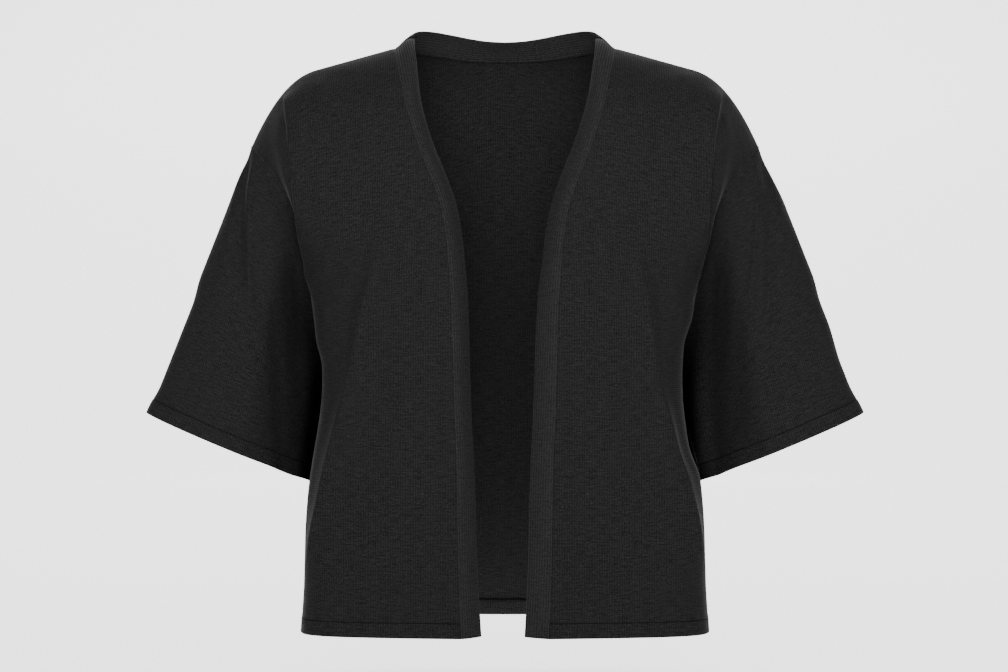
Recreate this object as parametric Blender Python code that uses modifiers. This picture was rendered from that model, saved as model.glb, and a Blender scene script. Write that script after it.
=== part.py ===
"""Cardigan: an open, kimono-shaped knitted jacket with dropped shoulders and wide elbow-length sleeves.

It hangs filled out, as when worn, with a hollow body and hollow sleeves. The script works in metres, +Z is up, the
fronts face -Y and the origin is the middle of the neck, level with its sides. Sizes and tables are in millimetres.

The body is one shell, read at a girth (the distance along the cloth from the front hem, over the shoulder, to the
back hem) and a share of the row from the middle of the body out to the side seam or armhole. The fronts, the back
and the band are the stretches of that shell between their seams, and each sleeve runs from its armhole to its cuff.
"""

from collections import namedtuple

import bpy
import numpy as np

MM = 0.001
LEFT = -1
RIGHT = 1
BOTH = 0

# Cloth: each wall's thickness, the gap at a seam, and how far a turned hem stands out from its panel
CLOTH_WALL = 1.8
BAND_WALL = 2.6
SEAM_GAP = 0.3
HEM_DEPTH = 17.0
HEM_STEP = 0.7
HEM_STEP_WIDTH = 2.0
BAND_WIDTH = 24.0
BAND_SEAM_STRIP = 2.5

# Rows and columns of the panels, and the narrow ones beside a seam
ROWS_BELOW_ARMHOLE = 11
ROWS_ABOVE_ARMHOLE = 11
FRONT_COLUMNS = 21
BACK_COLUMNS = 13
NECK_COLUMNS = 6
SLEEVE_RINGS = 12
NARROW_ROW = 3.0
NARROW_COLUMN = 0.015
CURVE_SAMPLES = 241

# Girths of the underarm, the shoulder seam, the middle of the back neck and the back hem
UNDERARM_GIRTH = 375.0
SHOULDER_GIRTH = 621.0
BACK_NECK_GIRTH = 697.0
BODY_GIRTH = 2 * SHOULDER_GIRTH

# One row for each level of the body. A level runs straight across to flat, turns towards turn_x and turn_y, and ends
# at the side; tight says how sharply it turns.
Level = namedtuple("Level", "name girth height depth flat turn_x turn_y tight")
LEVELS = [
    Level("front hem", 0, -575, -112, 192, 201, -78, 3.0),
    Level("front hip", 75, -502, -112, 191, 197, -76, 3.6),
    Level("front flare", 145, -431, -111, 181, 197, -66, 4.6),
    Level("front waist", 235, -341, -110, 153, 191, -50, 4.8),
    Level("under the bust", 330, -246, -110, 133, 202, -58, 2.4),
    Level("front underarm", 375, -200, -110, 129, 204, -64, 1.6),
    Level("bust", 420, -147, -107, 129, 210, -72, 1.3),
    Level("chest", 470, -88, -100, 129, 215, -80, 1.2),
    Level("front yoke", 545, -6, -72, 118, 216, -62, 1.0),
    Level("shoulder seam", 621, 34, 0, 110, 218, 0, 1.0),
    Level("back yoke", 697, -2, 71, 116, 218, 62, 1.0),
    Level("shoulder blade", 772, -84, 98, 128, 212, 80, 1.0),
    Level("back underarm", 867, -199, 109, 136, 202, 68, 1.0),
    Level("back waist", 1007, -340, 110, 158, 187, 60, 1.3),
    Level("back flare", 1097, -430, 111, 174, 195, 72, 1.4),
    Level("back hip", 1167, -501, 112, 182, 199, 78, 1.4),
    Level("back hem", 1242, -574, 112, 186, 202, 80, 1.4),
]

# The band's seam on a front, upwards from the hem, measured from the middle
FrontEdge = namedtuple("FrontEdge", "girth half_width")
FRONT_EDGE = [
    FrontEdge(0, 42),
    FrontEdge(75, 45),
    FrontEdge(145, 46),
    FrontEdge(235, 49),
    FrontEdge(330, 52),
    FrontEdge(375, 55),
    FrontEdge(420, 62),
    FrontEdge(470, 81),
    FrontEdge(545, 102),
    FrontEdge(621, 111),
]
# Roundness of the back neckline, at its sides and at its middle
NECK_SIDE_POWER = 1.4
NECK_MIDDLE_POWER = 0.65

# The side seam, upwards from the hem
SideStitch = namedtuple("SideStitch", "girth half_width set_back height")
SIDE_SEAM = [
    SideStitch(0, 200.7, 0, -572),
    SideStitch(75, 195.0, 0, -501),
    SideStitch(145, 184.0, 1, -431),
    SideStitch(190, 174.0, 2, -387),
    SideStitch(235, 165.0, 3, -343),
    SideStitch(285, 167.5, 5, -296),
    SideStitch(330, 179.0, 7, -258),
    SideStitch(375, 193.0, 8, -228),
]

# The armhole: its top is the dropped shoulder point, and the seam runs in towards armhole_pull on its way down
SHOULDER_POINT = (253.5, 0.0, -96.0)
ARMHOLE_PULL = (201.0, -141.0)
ARMHOLE_FRONT_DEPTH = 42.0
ARMHOLE_BACK_DEPTH = 58.0
# The shoulder slopes straight as far as this share of its width, and then rolls over to the shoulder point
SHOULDER_STRAIGHT_DROP = 0.54
SHOULDER_ROLL_START = 0.74
SHOULDER_ROLL_POWER = 2.2

# One row for each large fold of the body. It runs from start to end along the girth, at across from the middle. The
# cloth stands out by lift and sideways by spread, and the fold's sides are inner and outer wide.
BodyFold = namedtuple("BodyFold", "name side start across_start end across_end inner outer lift spread")
BODY_FOLDS = [
    BodyFold("corner of the front", BOTH, 40, 196, 375, 124, 26, 15, 5.5, 1.5),
    BodyFold("hollow inside that corner", BOTH, 30, 158, 330, 102, 20, 18, -3.2, 0),
    BodyFold("drape beside the left band", LEFT, 20, 102, 300, 92, 18, 18, 2.4, 0),
    BodyFold("drape beside the right band", RIGHT, 20, 90, 320, 80, 22, 22, 2.0, 0),
    BodyFold("left side let out under the arm", LEFT, 265, 186, 400, 204, 20, 20, 0, 4.5),
    BodyFold("right side drawn in at the waist", RIGHT, 150, 186, 322, 190, 24, 20, 0, -6),
    BodyFold("fold before the left armhole", LEFT, 370, 206, 590, 217, 34, 13, 7.5, 3),
    BodyFold("fold before the right armhole", RIGHT, 370, 201, 585, 212, 32, 13, 7.0, 3),
    BodyFold("back fold at the left", LEFT, 800, 150, 1230, 112, 26, 30, 4.5, 0),
    BodyFold("back fold at the right", RIGHT, 830, 142, 1215, 128, 24, 28, 5.0, 0),
    BodyFold("hollow down the back", LEFT, 820, 70, 1235, 58, 34, 30, -3.0, 0),
]
FOLD_END_SHARE = 0.22
FOLD_SEAM_FADE = 26.0

# Sleeve: the outer and inner corners of the cuff, and how far its front and back stand from the line between them
CUFF_OUTER = (358.0, 2.0, -360.0)
CUFF_INNER = (187.5, 12.0, -432.0)
CUFF_HALF_DEPTH = 50.0
CUFF_SQUARENESS = 2.3
# Half-way down, the sleeve's inner line lies this much further in, behind the front; the skew brings that place up
INNER_LINE_BOW = 22.0
INNER_LINE_BOW_REACH = 0.24
INNER_LINE_BOW_SKEW = 0.96
# At the underarm's seam, and just below it, it stands off the body by this much, which closes towards the cuff
UNDERARM_SEAM_STAND_OFF = 0.5
UNDERARM_STAND_OFF = 3.0
UNDERARM_STAND_OFF_START = 0.06
UNDERARM_STAND_OFF_REACH = 0.4

# One row for each large fold of a sleeve. It follows around (0 is the sleeve's top, 1 its underarm) from start to
# end (0 is the armhole, 1 the cuff), and lifts the cloth by height, or sinks it where height is below zero.
SleeveFold = namedtuple("SleeveFold", "name side start around_start end around_end width height")
SLEEVE_FOLDS = [
    SleeveFold("crease at the front of the underarm", BOTH, 0.05, 0.72, 1.05, 0.88, 24, -11),
    SleeveFold("roll beside that crease", BOTH, 0.12, 0.44, 1.0, 0.68, 24, 3.5),
    SleeveFold("fold below the left shoulder point", LEFT, 0.02, 0.10, 0.62, 0.30, 17, 3),
    SleeveFold("fold below the right shoulder point", RIGHT, 0.02, 0.13, 0.48, 0.28, 17, 3.5),
    SleeveFold("swell of the right sleeve's top", RIGHT, 0.05, 0.0, 0.82, 0.0, 60, 3.5),
    SleeveFold("hollow above the cuff's outer corner", BOTH, 0.48, 0.0, 1.0, 0.0, 44, -3),
    SleeveFold("crease at the back of the underarm", BOTH, 0.05, -0.66, 1.05, -0.88, 28, -6),
    SleeveFold("fold at the back of the left sleeve", LEFT, 0.05, -0.12, 0.7, -0.34, 20, 3),
    SleeveFold("fold at the back of the right sleeve", RIGHT, 0.05, -0.16, 0.6, -0.40, 20, 3),
]

# How far the band's free edge lies inward of its seam (left and right front), behind it and above it, and how far
# the middle of its width stands out between its two edges
BandLean = namedtuple("BandLean", "girth in_left in_right back_left back_right up roll")
BAND_LEANS = [
    BandLean(0, 18.8, 22.8, 15.0, 7.5, 0, 1.5),
    BandLean(145, 16.3, 21.5, 17.5, 10.6, 0, 1.5),
    BandLean(235, 15.0, 20.6, 18.7, 12.3, 0, 1.5),
    BandLean(330, 15.4, 19.7, 18.4, 13.7, 0, 1.5),
    BandLean(420, 14.0, 16.5, 19.0, 17.3, 1, 2.0),
    BandLean(470, 14.0, 17.0, 19.0, 16.0, 1, 2.5),
    BandLean(545, 15.0, 17.0, 14.0, 12.5, -1, 5.0),
    BandLean(596, 17.0, 17.5, 3.0, 3.0, 6, 6.5),
    BandLean(621, 18.0, 18.0, -1.0, -1.0, 11, 4.0),
    BandLean(650, 11.0, 11.0, -8.0, -8.0, 19.5, 1.5),
    BandLean(680, 3.0, 3.0, -12.0, -12.0, 20.0, 1.0),
    BandLean(697, 0.0, 0.0, -17.0, -17.0, 16.5, 1.0),
]

BLACK_MELANGE = (0.019, 0.019, 0.019, 1.0)
RIBBED_BLACK = (0.023, 0.023, 0.023, 1.0)
KNIT_ROUGHNESS = 0.9


def spline(knots, values, places):
    """Natural cubic spline through the values at the knots, read at the places."""
    knots, values = np.asarray(knots, float), np.asarray(values, float)
    step = np.diff(knots)
    slope = np.diff(values) / step
    matrix = np.eye(len(knots))
    right_side = np.zeros(len(knots))
    for i in range(1, len(knots) - 1):
        matrix[i, i - 1 : i + 2] = step[i - 1], 2 * (step[i - 1] + step[i]), step[i]
        right_side[i] = 6 * (slope[i] - slope[i - 1])
    bend = np.linalg.solve(matrix, right_side)
    places = np.clip(places, knots[0], knots[-1])
    i = np.clip(np.searchsorted(knots, places, side="right") - 1, 0, len(step) - 1)
    before, after = places - knots[i], knots[i + 1] - places
    cubic = (bend[i] * after**3 + bend[i + 1] * before**3) / (6 * step[i])
    start = (values[i] / step[i] - bend[i] * step[i] / 6) * after
    end = (values[i + 1] / step[i] - bend[i + 1] * step[i] / 6) * before
    return cubic + start + end


def column(table, name, places):
    """One named column of a table, as a smooth curve along the girth, read at the places."""
    return spline([row.girth for row in table], [getattr(row, name) for row in table], places)


def smooth_step(x):
    """0 below 0, 1 above 1, and a smooth rise between."""
    x = np.clip(x, 0, 1)
    return x * x * (3 - 2 * x)


def unit(vectors):
    """The vectors, each at length 1."""
    return vectors / np.maximum(np.linalg.norm(vectors, axis=-1, keepdims=True), 1e-12)


def along(points):
    """The length along each line of points, from its start."""
    steps = np.linalg.norm(np.diff(points, axis=-2), axis=-1)
    return np.concatenate([np.zeros_like(steps[..., :1]), np.cumsum(steps, axis=-1)], axis=-1)


def read_line(points, lengths, places):
    """Points of one line at the given lengths along it."""
    return np.stack([np.interp(places, lengths, points[:, axis]) for axis in range(3)], axis=-1)


def armhole(down, toward_back):
    """The armhole seam, where down runs from 0 at the shoulder point to 1 at the underarm."""
    top, foot = SHOULDER_POINT, SIDE_SEAM[-1]
    t = 2 * down**2 - down**3
    x = (1 - t) ** 2 * top[0] + 2 * t * (1 - t) * ARMHOLE_PULL[0] + t**2 * foot.half_width
    z = (1 - t) ** 2 * top[2] + 2 * t * (1 - t) * ARMHOLE_PULL[1] + t**2 * foot.height
    bulge = np.where(toward_back, ARMHOLE_BACK_DEPTH, -ARMHOLE_FRONT_DEPTH)
    y = bulge * np.sin(np.pi * down) + foot.set_back * smooth_step(down)
    return np.stack([x, y, z], axis=-1)


def outer_edge(girth):
    """The outer end of the row at each girth: on the side seam, and above the underarm on the armhole."""
    from_hem = SHOULDER_GIRTH - np.abs(girth - SHOULDER_GIRTH)
    seam = [column(SIDE_SEAM, name, from_hem) for name in ("half_width", "set_back", "height")]
    down = (SHOULDER_GIRTH - from_hem) / (SHOULDER_GIRTH - UNDERARM_GIRTH)
    hole = armhole(np.clip(down, 0, 1), girth > SHOULDER_GIRTH)
    return np.where((down > 1)[..., None], np.stack(seam, axis=-1), hole)


def row_drop(girth, across):
    """How much of a row's drop from its middle to its outer edge is behind, at a share of the row's width.

    The shoulder's rows roll over at their ends, and the rows from the underarm down fall evenly.
    """
    roll = np.clip((across - SHOULDER_ROLL_START) / (1 - SHOULDER_ROLL_START), 0, 1)
    rolled = SHOULDER_STRAIGHT_DROP * across + (1 - SHOULDER_STRAIGHT_DROP) * roll**SHOULDER_ROLL_POWER
    from_shoulder = np.abs(girth - SHOULDER_GIRTH) / (SHOULDER_GIRTH - UNDERARM_GIRTH)
    return across + (rolled - across) * smooth_step(1 - from_shoulder)


def row_curves(girth):
    """Each row as a fine line of points from the middle out, and the length along it.

    In plan a row is a rational cubic curve: the middle, flat, the turn and the outer edge hold it, and tight weighs
    the two inner ones. Its height falls from the middle to the outer edge.
    """
    edge = outer_edge(girth)
    u = np.linspace(0, 1, CURVE_SAMPLES)
    tight = column(LEVELS, "tight", girth)[:, None]
    weights = [(1 - u) ** 3 + 0 * tight, 3 * u * (1 - u) ** 2 * tight, 3 * u**2 * (1 - u) * tight, u**3 + 0 * tight]
    depth = column(LEVELS, "depth", girth)
    control_x = [0 * depth, column(LEVELS, "flat", girth), column(LEVELS, "turn_x", girth), edge[:, 0]]
    control_y = [depth, depth, column(LEVELS, "turn_y", girth), edge[:, 1]]
    total = sum(weights)
    x = sum(w * c[:, None] for w, c in zip(weights, control_x)) / total
    y = sum(w * c[:, None] for w, c in zip(weights, control_y)) / total
    plan = along(np.stack([x, y], axis=-1))
    height = column(LEVELS, "height", girth)[:, None]
    z = height + (edge[:, 2:3] - height) * row_drop(girth[:, None], plan / plan[:, -1:])
    points = np.stack([x, y, z], axis=-1)
    return points, along(points)


def body_folds(points, girth, to_edge, side):
    """How the body's folds move its points: forward on the fronts, backward on the back, and sideways."""
    outward = np.where(girth > SHOULDER_GIRTH, 1.0, -1.0)
    moved = np.zeros_like(points)
    for fold in BODY_FOLDS:
        if fold.side not in (side, BOTH):
            continue
        t = (girth - fold.start) / (fold.end - fold.start)
        apart = points[:, 0] - (fold.across_start + (fold.across_end - fold.across_start) * t)
        width = np.where(apart < 0, fold.inner, fold.outer)
        ends = smooth_step(t / FOLD_END_SHARE) * smooth_step((1 - t) / FOLD_END_SHARE)
        amount = np.exp(-((apart / width) ** 2)) * ends * smooth_step(to_edge / FOLD_SEAM_FADE)
        moved[:, 0] += fold.spread * amount
        moved[:, 1] += fold.lift * amount * outward
    return moved


def body(girth, share, side):
    """Points of the body shell at a grid of girths and shares of the row, on the left or the right half."""
    girth, share = np.broadcast_arrays(girth, share)
    each_girth, each_share = girth.ravel(), share.ravel()
    lines, lengths = row_curves(each_girth)
    points = np.array([read_line(p, s, k * s[-1]) for p, s, k in zip(lines, lengths, each_share)])
    points += body_folds(points, each_girth, (1 - each_share) * lengths[:, -1], side)
    return points.reshape(girth.shape + (3,)) * (side, 1, 1)


def neck_girths():
    """Girths of the back neckline's points, from near its side to its middle."""
    width = np.sin(np.arange(NECK_COLUMNS)[::-1] / NECK_COLUMNS * np.pi / 2)
    behind = (1 - width ** (1 / NECK_MIDDLE_POWER)) ** (1 / NECK_SIDE_POWER)
    return SHOULDER_GIRTH + (BACK_NECK_GIRTH - SHOULDER_GIRTH) * behind


def opening_share(girth):
    """The share of the row at which the band's seam lies, on the fronts and round the back neck."""
    behind = np.clip((girth - SHOULDER_GIRTH) / (BACK_NECK_GIRTH - SHOULDER_GIRTH), 0, 1)
    neck = FRONT_EDGE[-1].half_width * (1 - behind**NECK_SIDE_POWER) ** NECK_MIDDLE_POWER
    front = column(FRONT_EDGE, "half_width", girth)
    width = np.where(girth > SHOULDER_GIRTH, neck, front)
    points, lengths = row_curves(girth)
    return np.array([np.interp(w, p[:, 0], s) for w, p, s in zip(width, points, lengths)]) / lengths[:, -1]


def seam_inset(girth):
    """Half of the gap at a seam, as a share of each row."""
    return SEAM_GAP / 2 / row_curves(girth)[1][:, -1]


def row_girths():
    """Girths of the rows of a front, from its hem to the shoulder seam, with narrow rows at both ends."""
    low = np.linspace(HEM_DEPTH, UNDERARM_GIRTH, ROWS_BELOW_ARMHOLE)
    high = np.linspace(UNDERARM_GIRTH, SHOULDER_GIRTH - NARROW_ROW, ROWS_ABOVE_ARMHOLE + 1)[1:]
    return np.concatenate([[0, HEM_DEPTH - HEM_STEP_WIDTH], low, high, [SHOULDER_GIRTH - SEAM_GAP / 2]])


def column_shares(count):
    """Shares from 0 to 1, even but for a narrow column at each end."""
    return np.concatenate([[0], np.linspace(NARROW_COLUMN, 1 - NARROW_COLUMN, count - 1), [1]])


def front_panel(side):
    """Grid of a front panel: rows from the hem to the shoulder, columns from the band's seam out."""
    girth = row_girths()
    start = opening_share(girth)[:, None]
    inset = seam_inset(girth)[:, None]
    share = start + inset + (1 - start - 2 * inset) * column_shares(FRONT_COLUMNS)
    return body(girth[:, None], share, side)


def back_panel():
    """Grid of the back: rows from the hem to the shoulder seams and neck, columns from the left side to the right.

    The middle columns follow the neckline at the top, and run even and level below it.
    """
    girth = BODY_GIRTH - row_girths()
    rise = ((BODY_GIRTH - girth) / SHOULDER_GIRTH)[:, None] ** 6
    inset = seam_inset(girth)[:, None]
    neck_point = opening_share(np.array([SHOULDER_GIRTH]))[0]
    even = neck_point * np.arange(NECK_COLUMNS) / NECK_COLUMNS
    neckline = neck_girths()[::-1]
    round_share = opening_share(neckline)
    neck_part = even + (round_share - even) * rise + inset * (round_share > 0)
    outer_part = neck_point + inset + (1 - neck_point - 2 * inset) * column_shares(BACK_COLUMNS)
    share = np.concatenate([neck_part, outer_part], axis=1)
    dip = np.concatenate([neckline - SHOULDER_GIRTH, np.zeros(BACK_COLUMNS + 1)])
    half_girth = girth[:, None] + dip * rise
    left, right = (body(half_girth, share, side) for side in (LEFT, RIGHT))
    return np.concatenate([left[:, :0:-1], right], axis=1)


def cuff(around):
    """The cuff's edge: around is 0 at its outer corner, 1 at its inner corner, and below 0 behind."""
    outer, inner = np.array(CUFF_OUTER), np.array(CUFF_INNER)
    angle = np.linspace(0, np.pi, CURVE_SAMPLES)
    power = 2 / CUFF_SQUARENESS
    forward = CUFF_HALF_DEPTH * np.abs(np.sin(angle)) ** power
    across = (1 - np.sign(np.cos(angle)) * np.abs(np.cos(angle)) ** power) / 2
    half = outer + (inner - outer) * across[:, None] + np.array([0, -1, 0]) * forward[:, None]
    lengths = along(half)
    front = read_line(half, lengths, np.abs(around) * lengths[-1])
    middle = outer + (inner - outer) * np.interp(np.abs(around), lengths / lengths[-1], across)[:, None]
    return np.where((around < 0)[:, None], 2 * middle - front, front)


def armhole_loop():
    """Points once round an armhole, from its top down the front and up the back, and the share around of each."""
    girth = row_girths()
    girth = girth[girth >= UNDERARM_GIRTH - 1]
    girth[-1] = SHOULDER_GIRTH
    front = outer_edge(girth[::-1])
    behind = outer_edge(BODY_GIRTH - girth)
    around_front = along(front) / along(front)[-1]
    around_behind = along(behind) / along(behind)[-1] - 1
    return np.concatenate([front, behind[1:-1]]), np.concatenate([around_front, around_behind[1:-1]])


def sleeve(side):
    """Grid of a sleeve: rings from the armhole to the cuff, each closed round the arm."""
    start, around = armhole_loop()
    end = cuff(around)
    length = np.linalg.norm(end - start, axis=1)[:, None]
    gap = SEAM_GAP / length
    hem = 1 - HEM_DEPTH / length
    even = np.linspace(0, 1, SLEEVE_RINGS)
    down = [gap + (hem - gap) * t for t in np.insert(even, 1, even[1] / 5)]
    down += [hem + HEM_STEP_WIDTH / length, hem / hem]
    rings = np.array([start + (end - start) * t for t in down])
    down = np.array(down)[..., 0]
    from_inner_line = 1 - np.abs(around)
    bow = INNER_LINE_BOW * np.sin(np.pi * down**INNER_LINE_BOW_SKEW) ** 2
    opened = UNDERARM_STAND_OFF * smooth_step(down / UNDERARM_STAND_OFF_START)
    stand_off = (UNDERARM_SEAM_STAND_OFF + opened) * (1 - down)
    rings[..., 0] -= bow * np.exp(-((from_inner_line / INNER_LINE_BOW_REACH) ** 2))
    rings[..., 0] += stand_off * np.exp(-((from_inner_line / UNDERARM_STAND_OFF_REACH) ** 2))
    return (rings + sleeve_folds(rings, around, side)) * (side, 1, 1)


def sleeve_folds(rings, around, side):
    """How far the folds move each point of a sleeve, along the surface's normal."""
    round_step = np.roll(rings, -1, axis=1) - rings
    tangent_round = round_step + np.roll(round_step, 1, axis=1)
    normal = unit(np.cross(np.gradient(rings, axis=0), tangent_round))
    centre = rings.mean(axis=1, keepdims=True)
    normal *= np.sign(np.sum(normal * (rings - centre), axis=-1, keepdims=True))
    half_round = np.linalg.norm(round_step, axis=-1).sum(axis=1, keepdims=True) / 2
    down = along(rings.transpose(1, 0, 2)).T
    down = down / down[-1:]
    total = np.zeros(rings.shape[:2])
    for fold in SLEEVE_FOLDS:
        if fold.side not in (side, BOTH):
            continue
        t = (down - fold.start) / (fold.end - fold.start)
        apart = around - (fold.around_start + (fold.around_end - fold.around_start) * t)
        apart = apart - 2 * np.round(apart / 2)
        ends = smooth_step(t / FOLD_END_SHARE) * smooth_step((1 - t) / FOLD_END_SHARE + (fold.end > 1))
        total += fold.height * np.exp(-((apart * half_round / fold.width) ** 2)) * ends
    return normal * total[..., None]


def half_band(side):
    """Half of the band, from its hem to the middle of the back neck: seam points, plane of the panel, and lean."""
    girth = np.concatenate([row_girths()[:-1], [SHOULDER_GIRTH], neck_girths()])
    share = opening_share(girth)
    nearby = 0.5
    row_step = seam_inset(girth) * nearby
    seam = body(girth, share, side)
    across = body(girth, share + row_step, side) - body(girth, np.maximum(share - row_step, 0), side)
    upward = body(girth + nearby, share, side) - body(girth - nearby, share, side)
    outward = unit(np.cross(across, upward)) * side
    name = "left" if side == LEFT else "right"
    inward = -side * column(BAND_LEANS, "in_" + name, girth)
    back = column(BAND_LEANS, "back_" + name, girth)
    lean = np.stack([inward, back, column(BAND_LEANS, "up", girth)], axis=-1)
    return seam, outward, lean, column(BAND_LEANS, "roll", girth)


def band_strip():
    """Grid of the band: rows from the left hem, round the neck, to the right hem, columns from its seam in.

    A narrow strip beside the seam lies in the panel's plane, and the rest leans as its table says.
    """
    halves = zip(half_band(LEFT), half_band(RIGHT))
    seam, outward, lean, roll = (np.concatenate([left, right[-2::-1]]) for left, right in halves)
    tangent = unit(np.gradient(seam, along(seam), axis=0))
    flat = unit(np.cross(outward, tangent))
    flat *= np.sign(np.sum(flat * lean, axis=1, keepdims=True))
    direction = unit(lean - tangent * np.sum(lean * tangent, axis=1, keepdims=True))
    face = unit(np.cross(direction, tangent))
    face *= np.sign(np.sum(face * outward, axis=1, keepdims=True))
    free_width = BAND_WIDTH - BAND_SEAM_STRIP
    chord = 2 * np.sqrt((free_width / 2) ** 2 - roll**2)[:, None]
    start = seam + flat * SEAM_GAP / 2
    turn = seam + flat * BAND_SEAM_STRIP
    middle = turn + direction * chord / 2 + face * roll[:, None]
    return np.stack([start, turn, middle, turn + direction * chord], axis=1)


def turned_hem(grid, rows, closed=False):
    """The grid with its hem's rows moved out by the thickness that a turned hem adds."""
    across = np.roll(grid, -1, axis=1) - np.roll(grid, 1, axis=1) if closed else np.gradient(grid, axis=1)
    normal = unit(np.cross(across, np.gradient(grid, axis=0)))
    hemmed = grid.copy()
    hemmed[rows] += HEM_STEP * normal[rows]
    return hemmed


def wall(name, grid, thickness, colour, closed=False):
    """A named cloth wall: the grid is its outer face, and Solidify gives it thickness inwards."""
    rows, columns = grid.shape[:2]
    index = np.arange(rows * columns).reshape(rows, columns)
    if closed:
        index = np.concatenate([index, index[:, :1]], axis=1)
    faces = np.stack([index[:-1, :-1], index[:-1, 1:], index[1:, 1:], index[1:, :-1]], axis=-1)
    mesh = bpy.data.meshes.new(name)
    mesh.from_pydata((grid * MM).reshape(-1, 3).tolist(), [], faces.reshape(-1, 4).tolist())
    mesh.materials.append(material(name, colour))
    mesh.shade_smooth()
    piece = bpy.data.objects.new(name, mesh)
    garment.objects.link(piece)
    solidify = piece.modifiers.new("Thickness", "SOLIDIFY")
    solidify.thickness = thickness * MM
    solidify.offset = -1.0


def material(name, colour):
    """Knitted cloth: one plain colour and a matt face."""
    finish = bpy.data.materials.new(name)
    finish.use_nodes = True
    shader = finish.node_tree.nodes["Principled BSDF"]
    shader.inputs["Base Color"].default_value = colour
    shader.inputs["Roughness"].default_value = KNIT_ROUGHNESS
    shader.inputs["Metallic"].default_value = 0.0
    return finish


def build():
    """Makes every piece of the cardigan, each grid wound so that its faces point out."""
    hem_rows, cuff_rings = slice(None, 2), slice(-2, None)
    front_left = turned_hem(front_panel(LEFT)[:, ::-1], hem_rows)
    front_right = turned_hem(front_panel(RIGHT), hem_rows)
    back = turned_hem(back_panel()[:, ::-1], hem_rows)
    sleeve_left = turned_hem(sleeve(LEFT)[:, ::-1], cuff_rings, closed=True)
    sleeve_right = turned_hem(sleeve(RIGHT), cuff_rings, closed=True)
    wall("front_left", front_left, CLOTH_WALL, BLACK_MELANGE)
    wall("front_right", front_right, CLOTH_WALL, BLACK_MELANGE)
    wall("back", back, CLOTH_WALL, BLACK_MELANGE)
    wall("sleeve_left", sleeve_left, CLOTH_WALL, BLACK_MELANGE, closed=True)
    wall("sleeve_right", sleeve_right, CLOTH_WALL, BLACK_MELANGE, closed=True)
    wall("band", band_strip(), BAND_WALL, RIBBED_BLACK)


for old in list(bpy.data.objects):
    bpy.data.objects.remove(old)
garment = bpy.data.collections.new("cardigan")
bpy.context.scene.collection.children.link(garment)
build()
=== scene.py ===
"""Visual model of an open, kimono-shaped fine-knit cardigan that hangs filled out, as when worn.

Shapes are worked out in millimetres in the frame's axes: +Z up, the fronts face -Y, and the origin is the
middle of the neck. The body is one surface, read at a girth (the distance along the cloth from the front hem,
over the shoulder, to the back hem) and a share of the row from the middle out. The panels are the stretches
of it between the seams. Left and right are the viewer's.
"""

import logging
import math
from collections.abc import Callable, Sequence
from dataclasses import dataclass, field
from enum import Enum
from functools import partial
from typing import NamedTuple

import bpy
import numpy as np
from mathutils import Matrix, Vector


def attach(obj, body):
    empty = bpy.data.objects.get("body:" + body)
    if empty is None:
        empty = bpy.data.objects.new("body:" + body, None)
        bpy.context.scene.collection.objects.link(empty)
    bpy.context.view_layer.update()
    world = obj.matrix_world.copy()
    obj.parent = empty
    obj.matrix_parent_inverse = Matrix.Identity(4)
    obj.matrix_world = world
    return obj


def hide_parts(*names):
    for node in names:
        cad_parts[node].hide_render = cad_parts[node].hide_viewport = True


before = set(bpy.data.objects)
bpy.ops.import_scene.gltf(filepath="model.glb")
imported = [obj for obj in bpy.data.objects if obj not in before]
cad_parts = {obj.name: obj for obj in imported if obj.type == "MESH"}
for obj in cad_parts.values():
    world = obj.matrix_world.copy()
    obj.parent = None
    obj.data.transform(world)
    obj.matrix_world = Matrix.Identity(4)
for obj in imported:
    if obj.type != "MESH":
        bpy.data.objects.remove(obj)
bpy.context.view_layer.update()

log = logging.getLogger("cardigan")

MM = 0.001
IMAGE_WIDTH_PX = 1008

# Short names for what the material functions take
Tree = bpy.types.NodeTree
Socket = bpy.types.NodeSocket


class Side(Enum):
    """Which half of the garment a piece or a fold belongs to; left is -1, so that it mirrors x."""

    LEFT = -1
    RIGHT = 1
    BOTH = 0


class Level(NamedTuple):
    """One row of the body: it runs straight to flat, bends more or less tightly round the turn, and ends."""

    girth: float
    height: float
    depth: float
    flat: float
    turn_x: float
    turn_y: float
    tight: float


class Stop(NamedTuple):
    """A distance from the middle at a girth."""

    girth: float
    half_width: float


class SideStitch(NamedTuple):
    """A point of the side seam."""

    girth: float
    half_width: float
    set_back: float
    height: float


class BodyFold(NamedTuple):
    """A large fold of the body, from start to end along the girth, at across from the middle.

    Its bell is inner wide on one side and outer on the other. Lift moves it out, and spread to the side.
    """

    name: str
    side: Side
    start: float
    across_start: float
    end: float
    across_end: float
    inner: float
    outer: float
    lift: float
    spread: float


class Crease(NamedTuple):
    """A small ridge or trough between two places on the cloth, bowed in its middle."""

    name: str
    side: Side
    along_start: float
    across_start: float
    along_end: float
    across_end: float
    bow: float
    width: float
    height: float


class LinePoint(NamedTuple):
    """A point of a line down the fronts: its girth, and its distance from the middle on each half."""

    girth: float
    left: float
    right: float


class SleeveFold(NamedTuple):
    """A fold of a sleeve, whose places are shares of its length and of the way round to the underarm.

    Around is 0 at the top and 1 at the underarm, and below 0 behind.
    """

    name: str
    side: Side
    start: float
    around_start: float
    end: float
    around_end: float
    width: float
    height: float
    crisp: bool = False


class EdgePoint(NamedTuple):
    """A point of the edge of the fold before an underarm crease, in front view, beside which the crease's
    painted shade starts.
    """

    height: float
    half_width: float


class BandLean(NamedTuple):
    """How far the band's free edge lies inward of, behind and above its seam, and how far its middle bows."""

    girth: float
    in_left: float
    in_right: float
    back_left: float
    back_right: float
    up: float
    roll: float


class SoftLight(NamedTuple):
    """A square light: its middle, side and aim in metres, its power in watts and its spread in degrees."""

    name: str
    place: tuple[float, float, float]
    size: float
    power: float
    aim_height: float = -0.28
    spread: float = 180.0


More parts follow.
